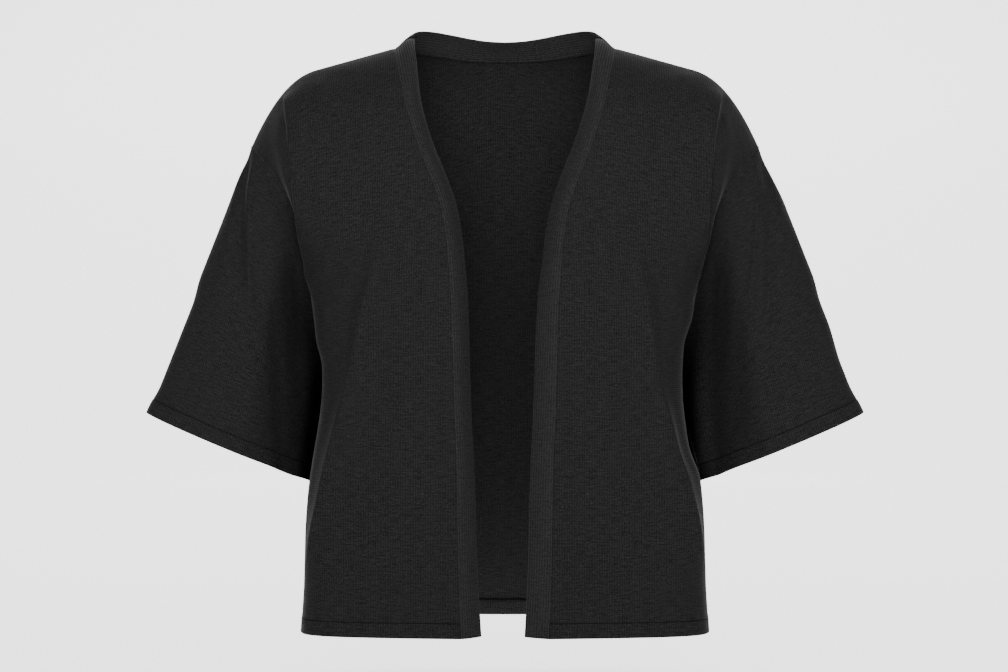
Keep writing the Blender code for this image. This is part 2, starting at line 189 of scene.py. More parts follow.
UNDERARM_GIRTH = 375.0
SHOULDER_GIRTH = 621.0
BACK_NECK_GIRTH = 697.0
BODY_GIRTH = 2 * SHOULDER_GIRTH
HEM_DEPTH = 17.0
STITCH_INSET = 1.6

# Shares of a fold's and a crease's length over which its ends fade, and where a crease's fade starts
FOLD_END_SHARE = 0.22
CREASE_END_SHARE = 0.3
CREASE_END_LEVEL = 0.2
# Share of a row from a point to the neighbours that give its normal
NEAR_SHARE = 0.004

# The body's rows, from the front hem over the shoulder to the back hem
LEVELS = [
    Level(0, -575, -112, 192, 201, -78, 3.0),
    Level(75, -502, -112, 191, 197, -76, 3.6),
    Level(145, -431, -111, 181, 197, -66, 4.6),
    Level(235, -341, -110, 153, 191, -50, 4.8),
    Level(330, -246, -110, 133, 202, -58, 2.4),
    Level(375, -200, -110, 129, 204, -64, 1.6),
    Level(420, -147, -107, 129, 210, -72, 1.3),
    Level(470, -88, -100, 129, 215, -80, 1.2),
    Level(545, -6, -72, 118, 216, -62, 1.0),
    Level(621, 34, 0, 110, 218, 0, 1.0),
    Level(697, -2, 71, 116, 218, 62, 1.0),
    Level(772, -84, 98, 128, 212, 80, 1.0),
    Level(867, -199, 109, 136, 202, 68, 1.0),
    Level(1007, -340, 110, 158, 187, 60, 1.3),
    Level(1097, -430, 111, 174, 195, 72, 1.4),
    Level(1167, -501, 112, 182, 199, 78, 1.4),
    Level(1242, -574, 112, 186, 202, 80, 1.4),
]
# The seam of the band up the fronts
FRONT_EDGE = [
    Stop(0, 42),
    Stop(75, 45),
    Stop(145, 46),
    Stop(235, 49),
    Stop(330, 52),
    Stop(375, 55),
    Stop(420, 62),
    Stop(470, 81),
    Stop(545, 102),
    Stop(621, 111),
]
# The side seam, from the hem to the underarm; the back has the same
SIDE_SEAM = [
    SideStitch(0, 200.7, 0, -572),
    SideStitch(75, 195.0, 0, -501),
    SideStitch(145, 184.0, 1, -431),
    SideStitch(190, 174.0, 2, -387),
    SideStitch(235, 165.0, 3, -343),
    SideStitch(285, 167.5, 5, -296),
    SideStitch(330, 179.0, 7, -258),
    SideStitch(375, 193.0, 8, -228),
]
# Large folds, which the photo shows in front; the back has similar ones
BODY_FOLDS = [
    BodyFold("corner of the front", Side.BOTH, 40, 196, 375, 124, 26, 15, 5.5, 1.5),
    BodyFold("hollow inside that corner", Side.BOTH, 30, 158, 330, 102, 20, 18, -3.2, 0),
    BodyFold("drape beside the left band", Side.LEFT, 20, 102, 300, 92, 18, 18, 2.4, 0),
    BodyFold("drape beside the right band", Side.RIGHT, 20, 90, 320, 80, 22, 22, 2.0, 0),
    BodyFold("left side let out under the arm", Side.LEFT, 265, 186, 400, 204, 20, 20, 0, 4.5),
    BodyFold("right side drawn in at the waist", Side.RIGHT, 150, 186, 322, 190, 24, 20, 0, -6),
    BodyFold("fold before the left armhole", Side.LEFT, 370, 206, 590, 217, 34, 13, 7.5, 3),
    BodyFold("fold before the right armhole", Side.RIGHT, 370, 201, 585, 212, 32, 13, 7.0, 3),
    BodyFold("back fold at the left", Side.LEFT, 800, 150, 1230, 112, 26, 30, 4.5, 0),
    BodyFold("back fold at the right", Side.RIGHT, 830, 142, 1215, 128, 24, 28, 5.0, 0),
    BodyFold("hollow down the back", Side.LEFT, 820, 70, 1235, 58, 34, 30, -3.0, 0),
]
# Small creases of the body: along is the girth, and across the distance from the middle
BODY_CREASES = [
    Crease("bust line", Side.LEFT, 378, 66, 392, 148, 5, 9, -0.9),
    Crease("bust line", Side.RIGHT, 372, 60, 386, 126, -4, 9, -0.8),
    Crease("pull to the underarm", Side.LEFT, 352, 178, 430, 120, 10, 9, -1.3),
    Crease("pull to the underarm", Side.RIGHT, 348, 172, 420, 118, -8, 9, -1.2),
    Crease("second pull to the underarm", Side.LEFT, 318, 172, 350, 118, 6, 8, -0.9),
    Crease("second pull to the underarm", Side.RIGHT, 310, 170, 338, 124, -6, 8, -0.9),
    Crease("soft swag above the hem", Side.LEFT, 62, 70, 48, 160, -8, 14, 0.9),
    Crease("soft swag above the hem", Side.RIGHT, 70, 62, 52, 150, 7, 14, 0.8),
    Crease("trough beside the band", Side.LEFT, 30, 62, 210, 74, 5, 10, -0.9),
    Crease("trough beside the band", Side.RIGHT, 40, 66, 250, 70, -5, 10, -0.8),
    Crease("shoulder dimple", Side.LEFT, 560, 150, 600, 196, 5, 10, -1.0),
    Crease("shoulder dimple", Side.RIGHT, 566, 146, 604, 200, -5, 10, -0.9),
    Crease("back pull to the left underarm", Side.LEFT, 884, 214, 820, 138, 9, 10, -1.4),
    Crease("back pull to the right underarm", Side.RIGHT, 888, 210, 832, 146, -9, 10, -1.4),
    Crease("lower back pull", Side.LEFT, 930, 214, 892, 150, 7, 9, -1.0),
    Crease("lower back pull", Side.RIGHT, 936, 212, 902, 156, -6, 9, -1.0),
    Crease("back swag", Side.LEFT, 1150, 40, 1168, 132, 8, 15, 0.9),
    Crease("back swag", Side.RIGHT, 1136, 30, 1160, 120, -8, 15, 0.9),
    Crease("back neck dimple", Side.RIGHT, 742, 20, 752, 92, 6, 14, -0.8),
]
# Folds of the sleeves, from the shoulder point and the underarm to the cuff
SLEEVE_FOLDS = [
    SleeveFold("crease at the front of the underarm", Side.BOTH, 0.05, 0.72, 1.05, 0.88, 24, -11),
    SleeveFold("roll beside that crease", Side.BOTH, 0.12, 0.40, 1.0, 0.60, 30, 1.6),
    SleeveFold("fold below the left shoulder point", Side.LEFT, 0.02, 0.10, 0.62, 0.30, 17, 3),
    SleeveFold("fold below the right shoulder point", Side.RIGHT, 0.02, 0.13, 0.48, 0.28, 17, 3.5),
    SleeveFold("swell of the right sleeve's top", Side.RIGHT, 0.05, 0.0, 0.82, 0.0, 60, 3.5),
    SleeveFold("hollow above the cuff's outer corner", Side.BOTH, 0.48, 0.0, 1.0, 0.0, 44, -3),
    SleeveFold("crease at the back of the underarm", Side.BOTH, 0.05, -0.66, 1.05, -0.88, 28, -6),
    SleeveFold("fold at the back of the left sleeve", Side.LEFT, 0.05, -0.12, 0.7, -0.34, 20, 3),
    SleeveFold("fold at the back of the right sleeve", Side.RIGHT, 0.05, -0.16, 0.6, -0.40, 20, 3),
    SleeveFold(
        "crisp ridge under the left shoulder point", Side.LEFT, 0.0, 0.125, 0.54, 0.48, 2.8, 3.0, True
    ),
    SleeveFold("trough outside the left ridge", Side.LEFT, 0.0, 0.06, 0.46, 0.36, 8, -4.4),
    SleeveFold(
        "crisp ridge under the right shoulder point", Side.RIGHT, 0.0, 0.14, 0.44, 0.50, 2.8, 3.2, True
    ),
    SleeveFold("trough outside the right ridge", Side.RIGHT, 0.0, 0.07, 0.62, 0.46, 9, -4.6),
    SleeveFold("soft trough beside the left underarm", Side.LEFT, 0.30, 0.56, 1.02, 0.76, 11, -2.6),
    SleeveFold("soft trough beside the right underarm", Side.RIGHT, 0.34, 0.52, 0.92, 0.70, 12, -1.6),
    SleeveFold("slack above the left cuff", Side.LEFT, 0.60, 0.30, 1.0, 0.22, 16, -1.2),
    SleeveFold("slack above the right cuff", Side.RIGHT, 0.62, 0.24, 1.0, 0.34, 16, -1.1),
    SleeveFold(
        "crisp ridge behind the left shoulder point", Side.LEFT, 0.0, -0.07, 0.55, -0.48, 3.4, 2.2, True
    ),
    SleeveFold(
        "crisp ridge behind the right shoulder point", Side.RIGHT, 0.0, -0.07, 0.66, -0.52, 3.4, 2.4, True
    ),
    SleeveFold("trough behind the left shoulder point", Side.LEFT, 0.0, 0.02, 0.42, -0.28, 9, -2.6),
    SleeveFold("trough behind the right shoulder point", Side.RIGHT, 0.0, 0.02, 0.50, -0.34, 9, -2.4),
]
# The edge of the fold before each underarm crease, from the cuff up; the painted shade in the crease starts
# beside it
CREASE_EDGES = {
    Side.LEFT: [
        EdgePoint(-440, 191),
        EdgePoint(-423, 190),
        EdgePoint(-383, 187),
        EdgePoint(-343, 182),
        EdgePoint(-316, 180),
        EdgePoint(-281, 185),
        EdgePoint(-236, 192),
        EdgePoint(-190, 198),
    ],
    Side.RIGHT: [
        EdgePoint(-440, 186),
        EdgePoint(-420, 182),
        EdgePoint(-405, 178),
        EdgePoint(-343, 174.5),
        EdgePoint(-281, 179.5),
        EdgePoint(-228, 188),
        EdgePoint(-190, 193),
    ],
}
# How the band leans, from the hem over the shoulder to the middle of the back neck
BAND_LEANS = [
    BandLean(0, 18.8, 22.8, 15.0, 7.5, 0, 1.5),
    BandLean(145, 16.3, 21.5, 17.5, 10.6, 0, 1.5),
    BandLean(235, 15.0, 20.6, 18.7, 12.3, 0, 1.5),
    BandLean(330, 15.4, 19.7, 18.4, 13.7, 0, 1.5),
    BandLean(420, 14.0, 16.5, 19.0, 17.3, 1, 2.0),
    BandLean(470, 14.0, 17.0, 19.0, 16.0, 1, 2.5),
    BandLean(545, 15.0, 17.0, 14.0, 12.5, -1, 5.0),
    BandLean(596, 17.0, 17.5, 3.0, 3.0, 6, 6.5),
    BandLean(621, 18.0, 18.0, -1.0, -1.0, 11, 4.0),
    BandLean(650, 11.0, 11.0, -8.0, -8.0, 19.5, 1.5),
    BandLean(680, 3.0, 3.0, -12.0, -12.0, 20.0, 1.0),
    BandLean(697, 0.0, 0.0, -17.0, -17.0, 16.5, 1.0),
]
# A wide key light in front, weaker fills from both sides, and a light behind for the sleeves' edges
LIGHTS = [
    SoftLight("key light", (-0.1, -3.9, 0.6), 2.4, 23.0, 0.4, 60.0),
    SoftLight("left fill light", (-2.4, -3.0, 0.8), 2.0, 8.0),
    SoftLight("right fill light", (2.4, -3.0, 0.8), 2.0, 17.0),
    SoftLight("back light", (0.0, 2.4, 2.2), 1.8, 60.0),
]


def spline(knots: Sequence[float], values: Sequence[float], places: np.ndarray) -> np.ndarray:
    """Natural cubic spline: third-degree pieces that meet with equal slope and bend, unbent at the ends.

    Args:
        knots: Rising places of the values.
        values: The value at each knot.
        places: Where to read the spline.

    Returns:
        The spline's value at each place.
    """
    knots, values = np.asarray(knots, float), np.asarray(values, float)
    step = np.diff(knots)
    matrix = np.eye(len(knots))
    right_side = np.zeros(len(knots))
    inner = np.arange(1, len(knots) - 1)
    matrix[inner, inner - 1] = step[:-1]
    matrix[inner, inner] = 2 * (step[:-1] + step[1:])
    matrix[inner, inner + 1] = step[1:]
    right_side[inner] = 6 * np.diff(np.diff(values) / step)
    bend = np.linalg.solve(matrix, right_side)
    places = np.clip(places, knots[0], knots[-1])
    i = np.clip(np.searchsorted(knots, places, side="right") - 1, 0, len(step) - 1)
    before, after = places - knots[i], knots[i + 1] - places
    cubic = (bend[i] * after**3 + bend[i + 1] * before**3) / (6 * step[i])
    start = (values[i] / step[i] - bend[i] * step[i] / 6) * after
    return cubic + start + (values[i + 1] / step[i] - bend[i + 1] * step[i] / 6) * before


def column(table: Sequence[NamedTuple], name: str, places: np.ndarray) -> np.ndarray:
    """One named column of a table, as a smooth curve along the girth, read at the places."""
    return spline([row.girth for row in table], [getattr(row, name) for row in table], places)


def on_side(table: Sequence[NamedTuple], side: Side) -> list[NamedTuple]:
    """The rows of a table that show on one half."""
    return [row for row in table if row.side in (side, Side.BOTH)]


def smooth_step(x: np.ndarray) -> np.ndarray:
    """0 below 0, 1 above 1, and 3x^2 - 2x^3 between."""
    x = np.clip(x, 0, 1)
    return x * x * (3 - 2 * x)


def bell(apart: np.ndarray, width: float | np.ndarray) -> np.ndarray:
    """A soft bump over a distance: exp(-(apart / width)^2)."""
    return np.exp(-((apart / width) ** 2))


def rounded(distance: float | np.ndarray, rounding: float | np.ndarray) -> np.ndarray:
    """A distance whose start at 0 is rounded: sqrt(d^2 + c^2) - c."""
    return np.sqrt(distance**2 + rounding**2) - rounding


def fold_ends(t: np.ndarray, runs_out: bool = False) -> np.ndarray:
    """How a fold fades in after t = 0 and out before t = 1, unless it runs out over the piece's edge."""
    return smooth_step(t / FOLD_END_SHARE) * smooth_step((1 - t) / FOLD_END_SHARE + runs_out)


def to_hem(girth: np.ndarray) -> np.ndarray:
    """The distance along the cloth from the nearer hem, in front or behind."""
    return SHOULDER_GIRTH - np.abs(girth - SHOULDER_GIRTH)


def below_shoulder(girth: np.ndarray) -> np.ndarray:
    """0 at the shoulder and 1 at the underarm, in front and behind."""
    return np.abs(girth - SHOULDER_GIRTH) / (SHOULDER_GIRTH - UNDERARM_GIRTH)


def unit(vectors: np.ndarray) -> np.ndarray:
    """The vectors, each at length 1."""
    return vectors / np.maximum(np.linalg.norm(vectors, axis=-1, keepdims=True), 1e-12)


def towards(vectors: np.ndarray, guides: np.ndarray) -> np.ndarray:
    """The vectors, each turned round where it points away from its guide."""
    return vectors * np.sign(np.sum(vectors * guides, axis=-1, keepdims=True))


def along(points: np.ndarray) -> np.ndarray:
    """The length along each line of points, from its start."""
    steps = np.linalg.norm(np.diff(points, axis=-2), axis=-1)
    return np.concatenate([np.zeros_like(steps[..., :1]), np.cumsum(steps, axis=-1)], axis=-1)


def ladder(*stretches: tuple[float, float]) -> np.ndarray:
    """Places from one stop to the next.

    Args:
        stretches: Pairs of a stop and the spacing up to it; the first one's spacing isn't used.

    Returns:
        Rising places that include every stop, evenly spaced between each two.
    """
    places = [np.array([stretches[0][0]])]
    for (low, _), (high, spacing) in zip(stretches, stretches[1:]):
        count = max(1, round((high - low) / spacing))
        places.append(np.linspace(low, high, count + 1)[1:])
    return np.concatenate(places)


def softened(rows: np.ndarray, times: int) -> np.ndarray:
    """The rows, each averaged with its two neighbours, with the ends held.

    Args:
        rows: The rows.
        times: How often they are averaged.

    Returns:
        The evened rows.
    """
    for _ in range(times):
        rows = np.concatenate([rows[:1], (rows[:-2] + 2 * rows[1:-1] + rows[2:]) / 4, rows[-1:]])
    return rows


def grid_normals(grid: np.ndarray, closed: bool = False) -> np.ndarray:
    """Unit normals of a grid of points: the cross product of its column and row directions.

    Args:
        grid: Points by row and column.
        closed: Whether the last column joins the first.

    Returns:
        One normal a point, out of the side that the faces show.
    """
    if closed:
        across = np.roll(grid, -1, axis=1) - np.roll(grid, 1, axis=1)
    else:
        across = np.gradient(grid, axis=1)
    return unit(np.cross(across, np.gradient(grid, axis=0)))


def row_and_normal(
    surface: Callable[[np.ndarray, np.ndarray], np.ndarray], girth: np.ndarray, share: np.ndarray, step: float
) -> tuple[np.ndarray, np.ndarray]:
    """Directions of a surface, from the differences between each point's neighbours.

    Args:
        surface: Gives points at girths and shares.
        girth: The points' girths.
        share: The points' shares of their rows.
        step: How far up and down the cloth the neighbours lie.

    Returns:
        The direction along the row, not of unit length, and the unit normal.
    """
    across = surface(girth, share + NEAR_SHARE) - surface(girth, np.maximum(share - NEAR_SHARE, 0))
    upward = surface(girth + step, share) - surface(girth - step, share)
    return across, unit(np.cross(across, upward))


def crease_height(side: Side, along_mm: np.ndarray, across_mm: np.ndarray) -> np.ndarray:
    """The body's small creases: each is a bell across its bowed line, which rises and falls at its ends.

    Args:
        side: The half that the points are on.
        along_mm: Their girths.
        across_mm: Their distances from the middle along the cloth.

    Returns:
        How far each point moves out.
    """
    total = np.zeros(np.broadcast(along_mm, across_mm).shape)
    for crease in on_side(BODY_CREASES, side):
        run = np.array([crease.along_end - crease.along_start, crease.across_end - crease.across_start])
        length = float(np.hypot(*run))
        to_along, to_across = along_mm - crease.along_start, across_mm - crease.across_start
        t = (to_along * run[0] + to_across * run[1]) / length**2
        apart = (to_across * run[0] - to_along * run[1]) / length - crease.bow * 4 * t * (1 - t)
        rise = smooth_step(t / CREASE_END_SHARE + CREASE_END_LEVEL)
        fall = smooth_step((1 - t) / CREASE_END_SHARE + CREASE_END_LEVEL)
        total += crease.height * bell(apart, crease.width) * rise * fall
    return total


@dataclass(frozen=True)
class CrispFold:
    """A fold of the fronts with a sharp crest along a line, and on request a drop and an overhang outside it.

    The drop and the overhang are full up to drop_full, and above drop_from only drop_least of them is left.
    """

    line: tuple[LinePoint, ...]
    rise: float
    inner: float
    outer: float
    rounding: float
    drop: float
    drop_place: float
    drop_width: float
    fade_low: float
    fade_high: float
    overhang: float = 0.0
    overhang_reach: float = 5.0
    drop_from: float = 1.0
    drop_full: float = 0.0
    drop_least: float = 1.0

    def place(self, girth: np.ndarray, side: Side) -> np.ndarray:
        """The line's distance from the middle, along the cloth, at each girth."""
        return column(self.line, "left" if side is Side.LEFT else "right", girth)

    def move(self, girth: np.ndarray, across: np.ndarray, side: Side) -> tuple[np.ndarray, np.ndarray]:
        """How far points move: out by a crest exp(-r / w) of the rounded distance r, less a bell outside it.

        Args:
            girth: Distance along the cloth from the front hem.
            across: Distance from the middle along the cloth.
            side: Which half.

        Returns:
            The moves along the normal and along the row.
        """
        apart = across - self.place(girth, side)
        crest = np.exp(-rounded(apart, self.rounding) / np.where(apart < 0, self.inner, self.outer))
        sunk = self.drop * bell(apart - self.drop_place, self.drop_width)
        low, high = self.line[0].girth, self.line[-1].girth
        ends = smooth_step((girth - low) / self.fade_low) * smooth_step((high - girth) / self.fade_high)
        lower = smooth_step((self.drop_from - girth) / (self.drop_from - self.drop_full))
        lower = self.drop_least + (1 - self.drop_least) * lower
        sideways = self.overhang * bell(apart, self.overhang_reach)
        return (self.rise * crest - sunk * lower) * ends, sideways * lower * ends


# The fold before each armhole: its edge hangs over the seam, more so towards the underarm
ARMHOLE_FOLD = CrispFold(
    line=(
        LinePoint(330, 211, 205),
        LinePoint(375, 223, 213),
        LinePoint(420, 221, 207.5),
        LinePoint(465, 215, 205),
        LinePoint(510, 218, 209),
        LinePoint(555, 223, 217),
        LinePoint(600, 236, 231),
    ),
    rise=4.5,
    inner=16.0,
    outer=2.0,
    rounding=0.8,
    drop=5.5,
    drop_place=6.5,
    drop_width=6.0,
    fade_low=70.0,
    fade_high=34.0,
    overhang=3.2,
    drop_from=540.0,
    drop_full=440.0,
    drop_least=0.2,
)
# The ridge down each front, from the bust to the hem's corner
FRONT_RIDGE = CrispFold(
    line=(
        LinePoint(60, 208, 208),
        LinePoint(105, 188, 191),
        LinePoint(150, 177, 178),
        LinePoint(195, 167, 166.5),
        LinePoint(240, 155, 152),
        LinePoint(285, 145, 143),
        LinePoint(330, 138, 139),
        LinePoint(390, 126, 131),
        LinePoint(425, 120, 127),
    ),
    rise=3.6,
    inner=8.0,
    outer=3.2,
    rounding=1.0,
    drop=1.4,
    drop_place=16.0,
    drop_width=9.0,
    fade_low=60.0,
    fade_high=75.0,
)


@dataclass
class BodyShell:
    """The filled-out body as one surface, worked out once on a fine net and then read between its points."""

    shoulder_point: tuple[float, float, float] = (253.5, 0.0, -96.0)
    armhole_pull: tuple[float, float] = (201.0, -141.0)
    armhole_front_depth: float = 42.0
    armhole_back_depth: float = 58.0
    straight_drop: float = 0.54
    middle_rounding: float = 0.05
    rounding_reach: float = 55.0
    roll_start: float = 0.74
    roll_power: float = 2.2
    neck_side_power: float = 1.4
    neck_middle_power: float = 0.65
    seam_fade: float = 26.0
    crease_fade: float = 14.0
    normal_step: float = 2.0
    net_step: float = 2.0
    net_shares: int = 241
    curve_samples: int = 241
    net: np.ndarray = field(init=False)
    row_lengths: np.ndarray = field(init=False)

    def __post_init__(self) -> None:
        """Works out the net: rows at even girths, columns at even shares of each row."""
        girth = np.linspace(0, BODY_GIRTH, round(BODY_GIRTH / self.net_step) + 1)
        lines, lengths = self.row_lines(girth)
        places = np.linspace(0, 1, self.net_shares) * lengths[:, -1:]
        after = np.clip((lengths[:, None, :] <= places[..., None]).sum(-1), 1, self.curve_samples - 1)
        row = np.arange(len(girth))[:, None]
        low, high = lengths[row, after - 1], lengths[row, after]
        blend = ((places - low) / (high - low))[..., None]
        self.net = lines[row, after - 1] * (1 - blend) + lines[row, after] * blend
        self.row_lengths = lengths[:, -1]

    def armhole(self, down: np.ndarray, behind: np.ndarray) -> np.ndarray:
        """The armhole seam: a bent line in front view, bulged forward or backward by a sine.

        Args:
            down: 0 at the shoulder point, 1 at the underarm.
            behind: Whether each point is on the back.

        Returns:
            Its points.
        """
        top, foot = self.shoulder_point, SIDE_SEAM[-1]
        t = 2 * down**2 - down**3
        x = (1 - t) ** 2 * top[0] + 2 * t * (1 - t) * self.armhole_pull[0] + t**2 * foot.half_width
        z = (1 - t) ** 2 * top[2] + 2 * t * (1 - t) * self.armhole_pull[1] + t**2 * foot.height
        bulge = np.where(behind, self.armhole_back_depth, -self.armhole_front_depth)
        y = bulge * np.sin(np.pi * down) + foot.set_back * smooth_step(down)
        return np.stack([x, y, z], axis=-1)

    def outer_edge(self, girth: np.ndarray) -> np.ndarray:
        """The outer end of each row: on the side seam, and above the underarm on the armhole.

        Args:
            girth: The rows' girths.

        Returns:
            A point for each row.
        """
        seam = [column(SIDE_SEAM, name, to_hem(girth)) for name in ("half_width", "set_back", "height")]
        down = below_shoulder(girth)
        hole = self.armhole(np.clip(down, 0, 1), girth > SHOULDER_GIRTH)
        return np.where((down > 1)[..., None], np.stack(seam, axis=-1), hole)

    def row_drop(self, girth: np.ndarray, across: np.ndarray) -> np.ndarray:
        """How a row falls to its outer end: rolled over at the shoulder, and evenly lower down.

        The back's rows start level at the middle, as a rounded distance does, so the back has no ridge there.

        Args:
            girth: The rows' girths.
            across: Shares of the rows' width, in plan.

        Returns:
            Shares of the fall.
        """
        rounding = self.middle_rounding * smooth_step((girth - SHOULDER_GIRTH) / self.rounding_reach)
        even = rounded(across, rounding) / rounded(1.0, rounding)
        roll = np.clip((across - self.roll_start) / (1 - self.roll_start), 0, 1)
        rolled = self.straight_drop * even + (1 - self.straight_drop) * roll**self.roll_power
        return even + (rolled - even) * smooth_step(1 - below_shoulder(girth))

    def row_lines(self, girth: np.ndarray) -> tuple[np.ndarray, np.ndarray]:
        """Each row as a fine line: in plan a rational cubic curve on the middle, flat, the turn and the edge.

        Args:
            girth: The rows' girths.

        Returns:
            Points by row and sample, and the length along each row.
        """
        edge = self.outer_edge(girth)
        u = np.linspace(0, 1, self.curve_samples)
        tight = column(LEVELS, "tight", girth)[:, None]
        held = [(1 - u) ** 3, 3 * u * (1 - u) ** 2 * tight, 3 * u**2 * (1 - u) * tight, u**3]
        depth = column(LEVELS, "depth", girth)
        control_x = [0 * depth, column(LEVELS, "flat", girth), column(LEVELS, "turn_x", girth), edge[:, 0]]
        control_y = [depth, depth, column(LEVELS, "turn_y", girth), edge[:, 1]]
        controls = (control_x, control_y)
        x, y = (sum(w * c[:, None] for w, c in zip(held, control)) / sum(held) for control in controls)
        plan = along(np.stack([x, y], axis=-1))
        height = column(LEVELS, "height", girth)[:, None]
        z = height + (edge[:, 2:3] - height) * self.row_drop(girth[:, None], plan / plan[:, -1:])
        points = np.stack([x, y, z], axis=-1)
        return points, along(points)

    def read_net(self, girth: np.ndarray, share: np.ndarray) -> np.ndarray:
        """Reads the net between its points: the mean of the four nearest, each by its nearness.

        Args:
            girth: Distance along the cloth from the front hem.
            share: Share of the row from the middle out.

        Returns:
            A point for each girth and share.
        """
        row = np.clip(girth / BODY_GIRTH, 0, 1) * (self.net.shape[0] - 1)
        col = np.clip(share, 0, 1) * (self.net.shape[1] - 1)
        r = np.minimum(row.astype(int), self.net.shape[0] - 2)
        c = np.minimum(col.astype(int), self.net.shape[1] - 2)
        p, q = (row - r)[..., None], (col - c)[..., None]
        upper, lower = (self.net[at, c] * (1 - q) + self.net[at, c + 1] * q for at in (r, r + 1))
        return upper * (1 - p) + lower * p

    def length_at(self, girth: np.ndarray) -> np.ndarray:
        """The length of the row at each girth, from the middle to the outer edge."""
        return np.interp(girth, np.linspace(0, BODY_GIRTH, len(self.row_lengths)), self.row_lengths)

    def opening_share(self, girth: np.ndarray) -> np.ndarray:
        """Where the band's seam lies: on the fronts, and as a flattened oval's quarter on half the back neck.

        Args:
            girth: The rows' girths.

        Returns:
            Shares of the rows.
        """
        behind = np.clip((girth - SHOULDER_GIRTH) / (BACK_NECK_GIRTH - SHOULDER_GIRTH), 0, 1)
        neck = FRONT_EDGE[-1].half_width * (1 - behind**self.neck_side_power) ** self.neck_middle_power
        width = np.where(girth > SHOULDER_GIRTH, neck, column(FRONT_EDGE, "half_width", girth))
        points, lengths = self.row_lines(girth)
        found = [np.interp(w, line[:, 0], length) for w, line, length in zip(width, points, lengths)]
        return np.array(found) / lengths[:, -1]

    def neck_girths(self, count: int) -> np.ndarray:
        """Spreads points round the back neckline's quarter oval, from its middle to its side.

        Args:
            count: How many points.

        Returns:
            Their girths.
        """
        width = np.sin(np.arange(count) / count * np.pi / 2)
        behind = (1 - width ** (1 / self.neck_middle_power)) ** (1 / self.neck_side_power)
        return SHOULDER_GIRTH + (BACK_NECK_GIRTH - SHOULDER_GIRTH) * behind

    def folds(self, points: np.ndarray, girth: np.ndarray, to_edge: np.ndarray, side: Side) -> np.ndarray:
        """The large folds: each is an uneven bell across its line, faded at its ends and at the seams.

        Args:
            points: Points of the plain body.
            girth: Their girths.
            to_edge: Their distances from the row's outer end.
            side: Which half.

        Returns:
            How far each point moves.
        """
        outward = np.where(girth > SHOULDER_GIRTH, 1.0, -1.0)
        moved = np.zeros_like(points)
        for fold in on_side(BODY_FOLDS, side):
            t = (girth - fold.start) / (fold.end - fold.start)
            apart = points[..., 0] - (fold.across_start + (fold.across_end - fold.across_start) * t)
            amount = bell(apart, np.where(apart < 0, fold.inner, fold.outer)) * fold_ends(t)
            amount = amount * smooth_step(to_edge / self.seam_fade)
            moved[..., 0] += fold.spread * amount
            moved[..., 1] += fold.lift * amount * outward
        return moved

    def smooth_points(self, girth: np.ndarray, share: np.ndarray, side: Side) -> np.ndarray:
        """Points of the body with its large folds, on the right half, before it is mirrored."""
        points = self.read_net(girth, share)
        return points + self.folds(points, girth, (1 - share) * self.length_at(girth), side)

    def points(self, girth: np.ndarray, share: np.ndarray, side: Side) -> np.ndarray:
        """Points of the body with its folds and small creases, at a grid of girths and shares.

        Args:
            girth: Distance along the cloth from the front hem.
            share: Share of the row from the middle out.
            side: Which half.

        Returns:
            Points in millimetres.
        """
        girth, share = np.broadcast_arrays(np.asarray(girth, float), np.asarray(share, float))
        here = self.smooth_points(girth, share, side)
        surface = partial(self.smooth_points, side=side)
        across, normal = row_and_normal(surface, girth, share, self.normal_step)
        length = self.length_at(girth)
        place = share * length
        height = crease_height(side, girth, place)
        sideways = np.zeros_like(height)
        for fold in (ARMHOLE_FOLD, FRONT_RIDGE):
            out, along_row = fold.move(girth, place, side)
            height, sideways = height + out, sideways + along_row
        fade = smooth_step((length - place) / self.crease_fade)
        moved = normal * (height * fade)[..., None] + unit(across) * (sideways * fade)[..., None]
        return (here + moved) * (side.value, 1, 1)


def srgb(hex_code: str) -> tuple[float, float, float, float]:
    """Turns an sRGB hex colour to the linear colour that shaders use.

    Args:
        hex_code: Six hex digits after a number sign.

    Returns:
        Red, green, blue and an alpha of 1.
    """
    parts = [int(hex_code[i : i + 2], 16) / 255 for i in (1, 3, 5)]
    linear = [p / 12.92 if p <= 0.04045 else ((p + 0.055) / 1.055) ** 2.4 for p in parts]
    return (*linear, 1.0)


def principled(name: str, constants: dict[str, object]) -> tuple[bpy.types.Material, bpy.types.Node]:
    """Starts a material.

    Args:
        name: The material's name.
        constants: Values of its surface's sockets, by name.

    Returns:
        The material and its Principled surface.
    """
    made = bpy.data.materials.new(name)
    made.use_nodes = True
    shader = made.node_tree.nodes["Principled BSDF"]
    for socket, value in constants.items():
        shader.inputs[socket].default_value = value
    return made, shader


def node(tree: Tree, kind: str, inputs: dict | None = None, **settings: object) -> bpy.types.Node:
    """Adds a node with its settings and links.

    Args:
        tree: The material's nodes.
        kind: The node's type.
        inputs: Values or sockets, by input name or number.
        settings: The node's own properties.

    Returns:
        The new node.
    """
    made = tree.nodes.new(kind)
    for name, value in settings.items():
        setattr(made, name, value)
    for key, value in (inputs or {}).items():
        if isinstance(value, Socket):
            tree.links.new(value, made.inputs[key])
        else:
            made.inputs[key].default_value = value
    return made


def maths(tree: Tree, operation: str, *values: object) -> Socket:
    """The result of a Math node on values or sockets."""
    return node(tree, "ShaderNodeMath", dict(enumerate(values)), operation=operation).outputs[0]


def ranged(tree: Tree, value: Socket, *limits: float) -> Socket:
    """The value carried over from one range to another, by default 0 to 1, and held at the ends."""
    return node(tree, "ShaderNodeMapRange", dict(enumerate((value, *limits)))).outputs[0]


def mixed(tree: Tree, share: Socket, first: object, second: object) -> Socket:
    """Two colours blended by a share."""
    return node(tree, "ShaderNodeMix", {0: share, 6: first, 7: second}, data_type="RGBA").outputs[2]


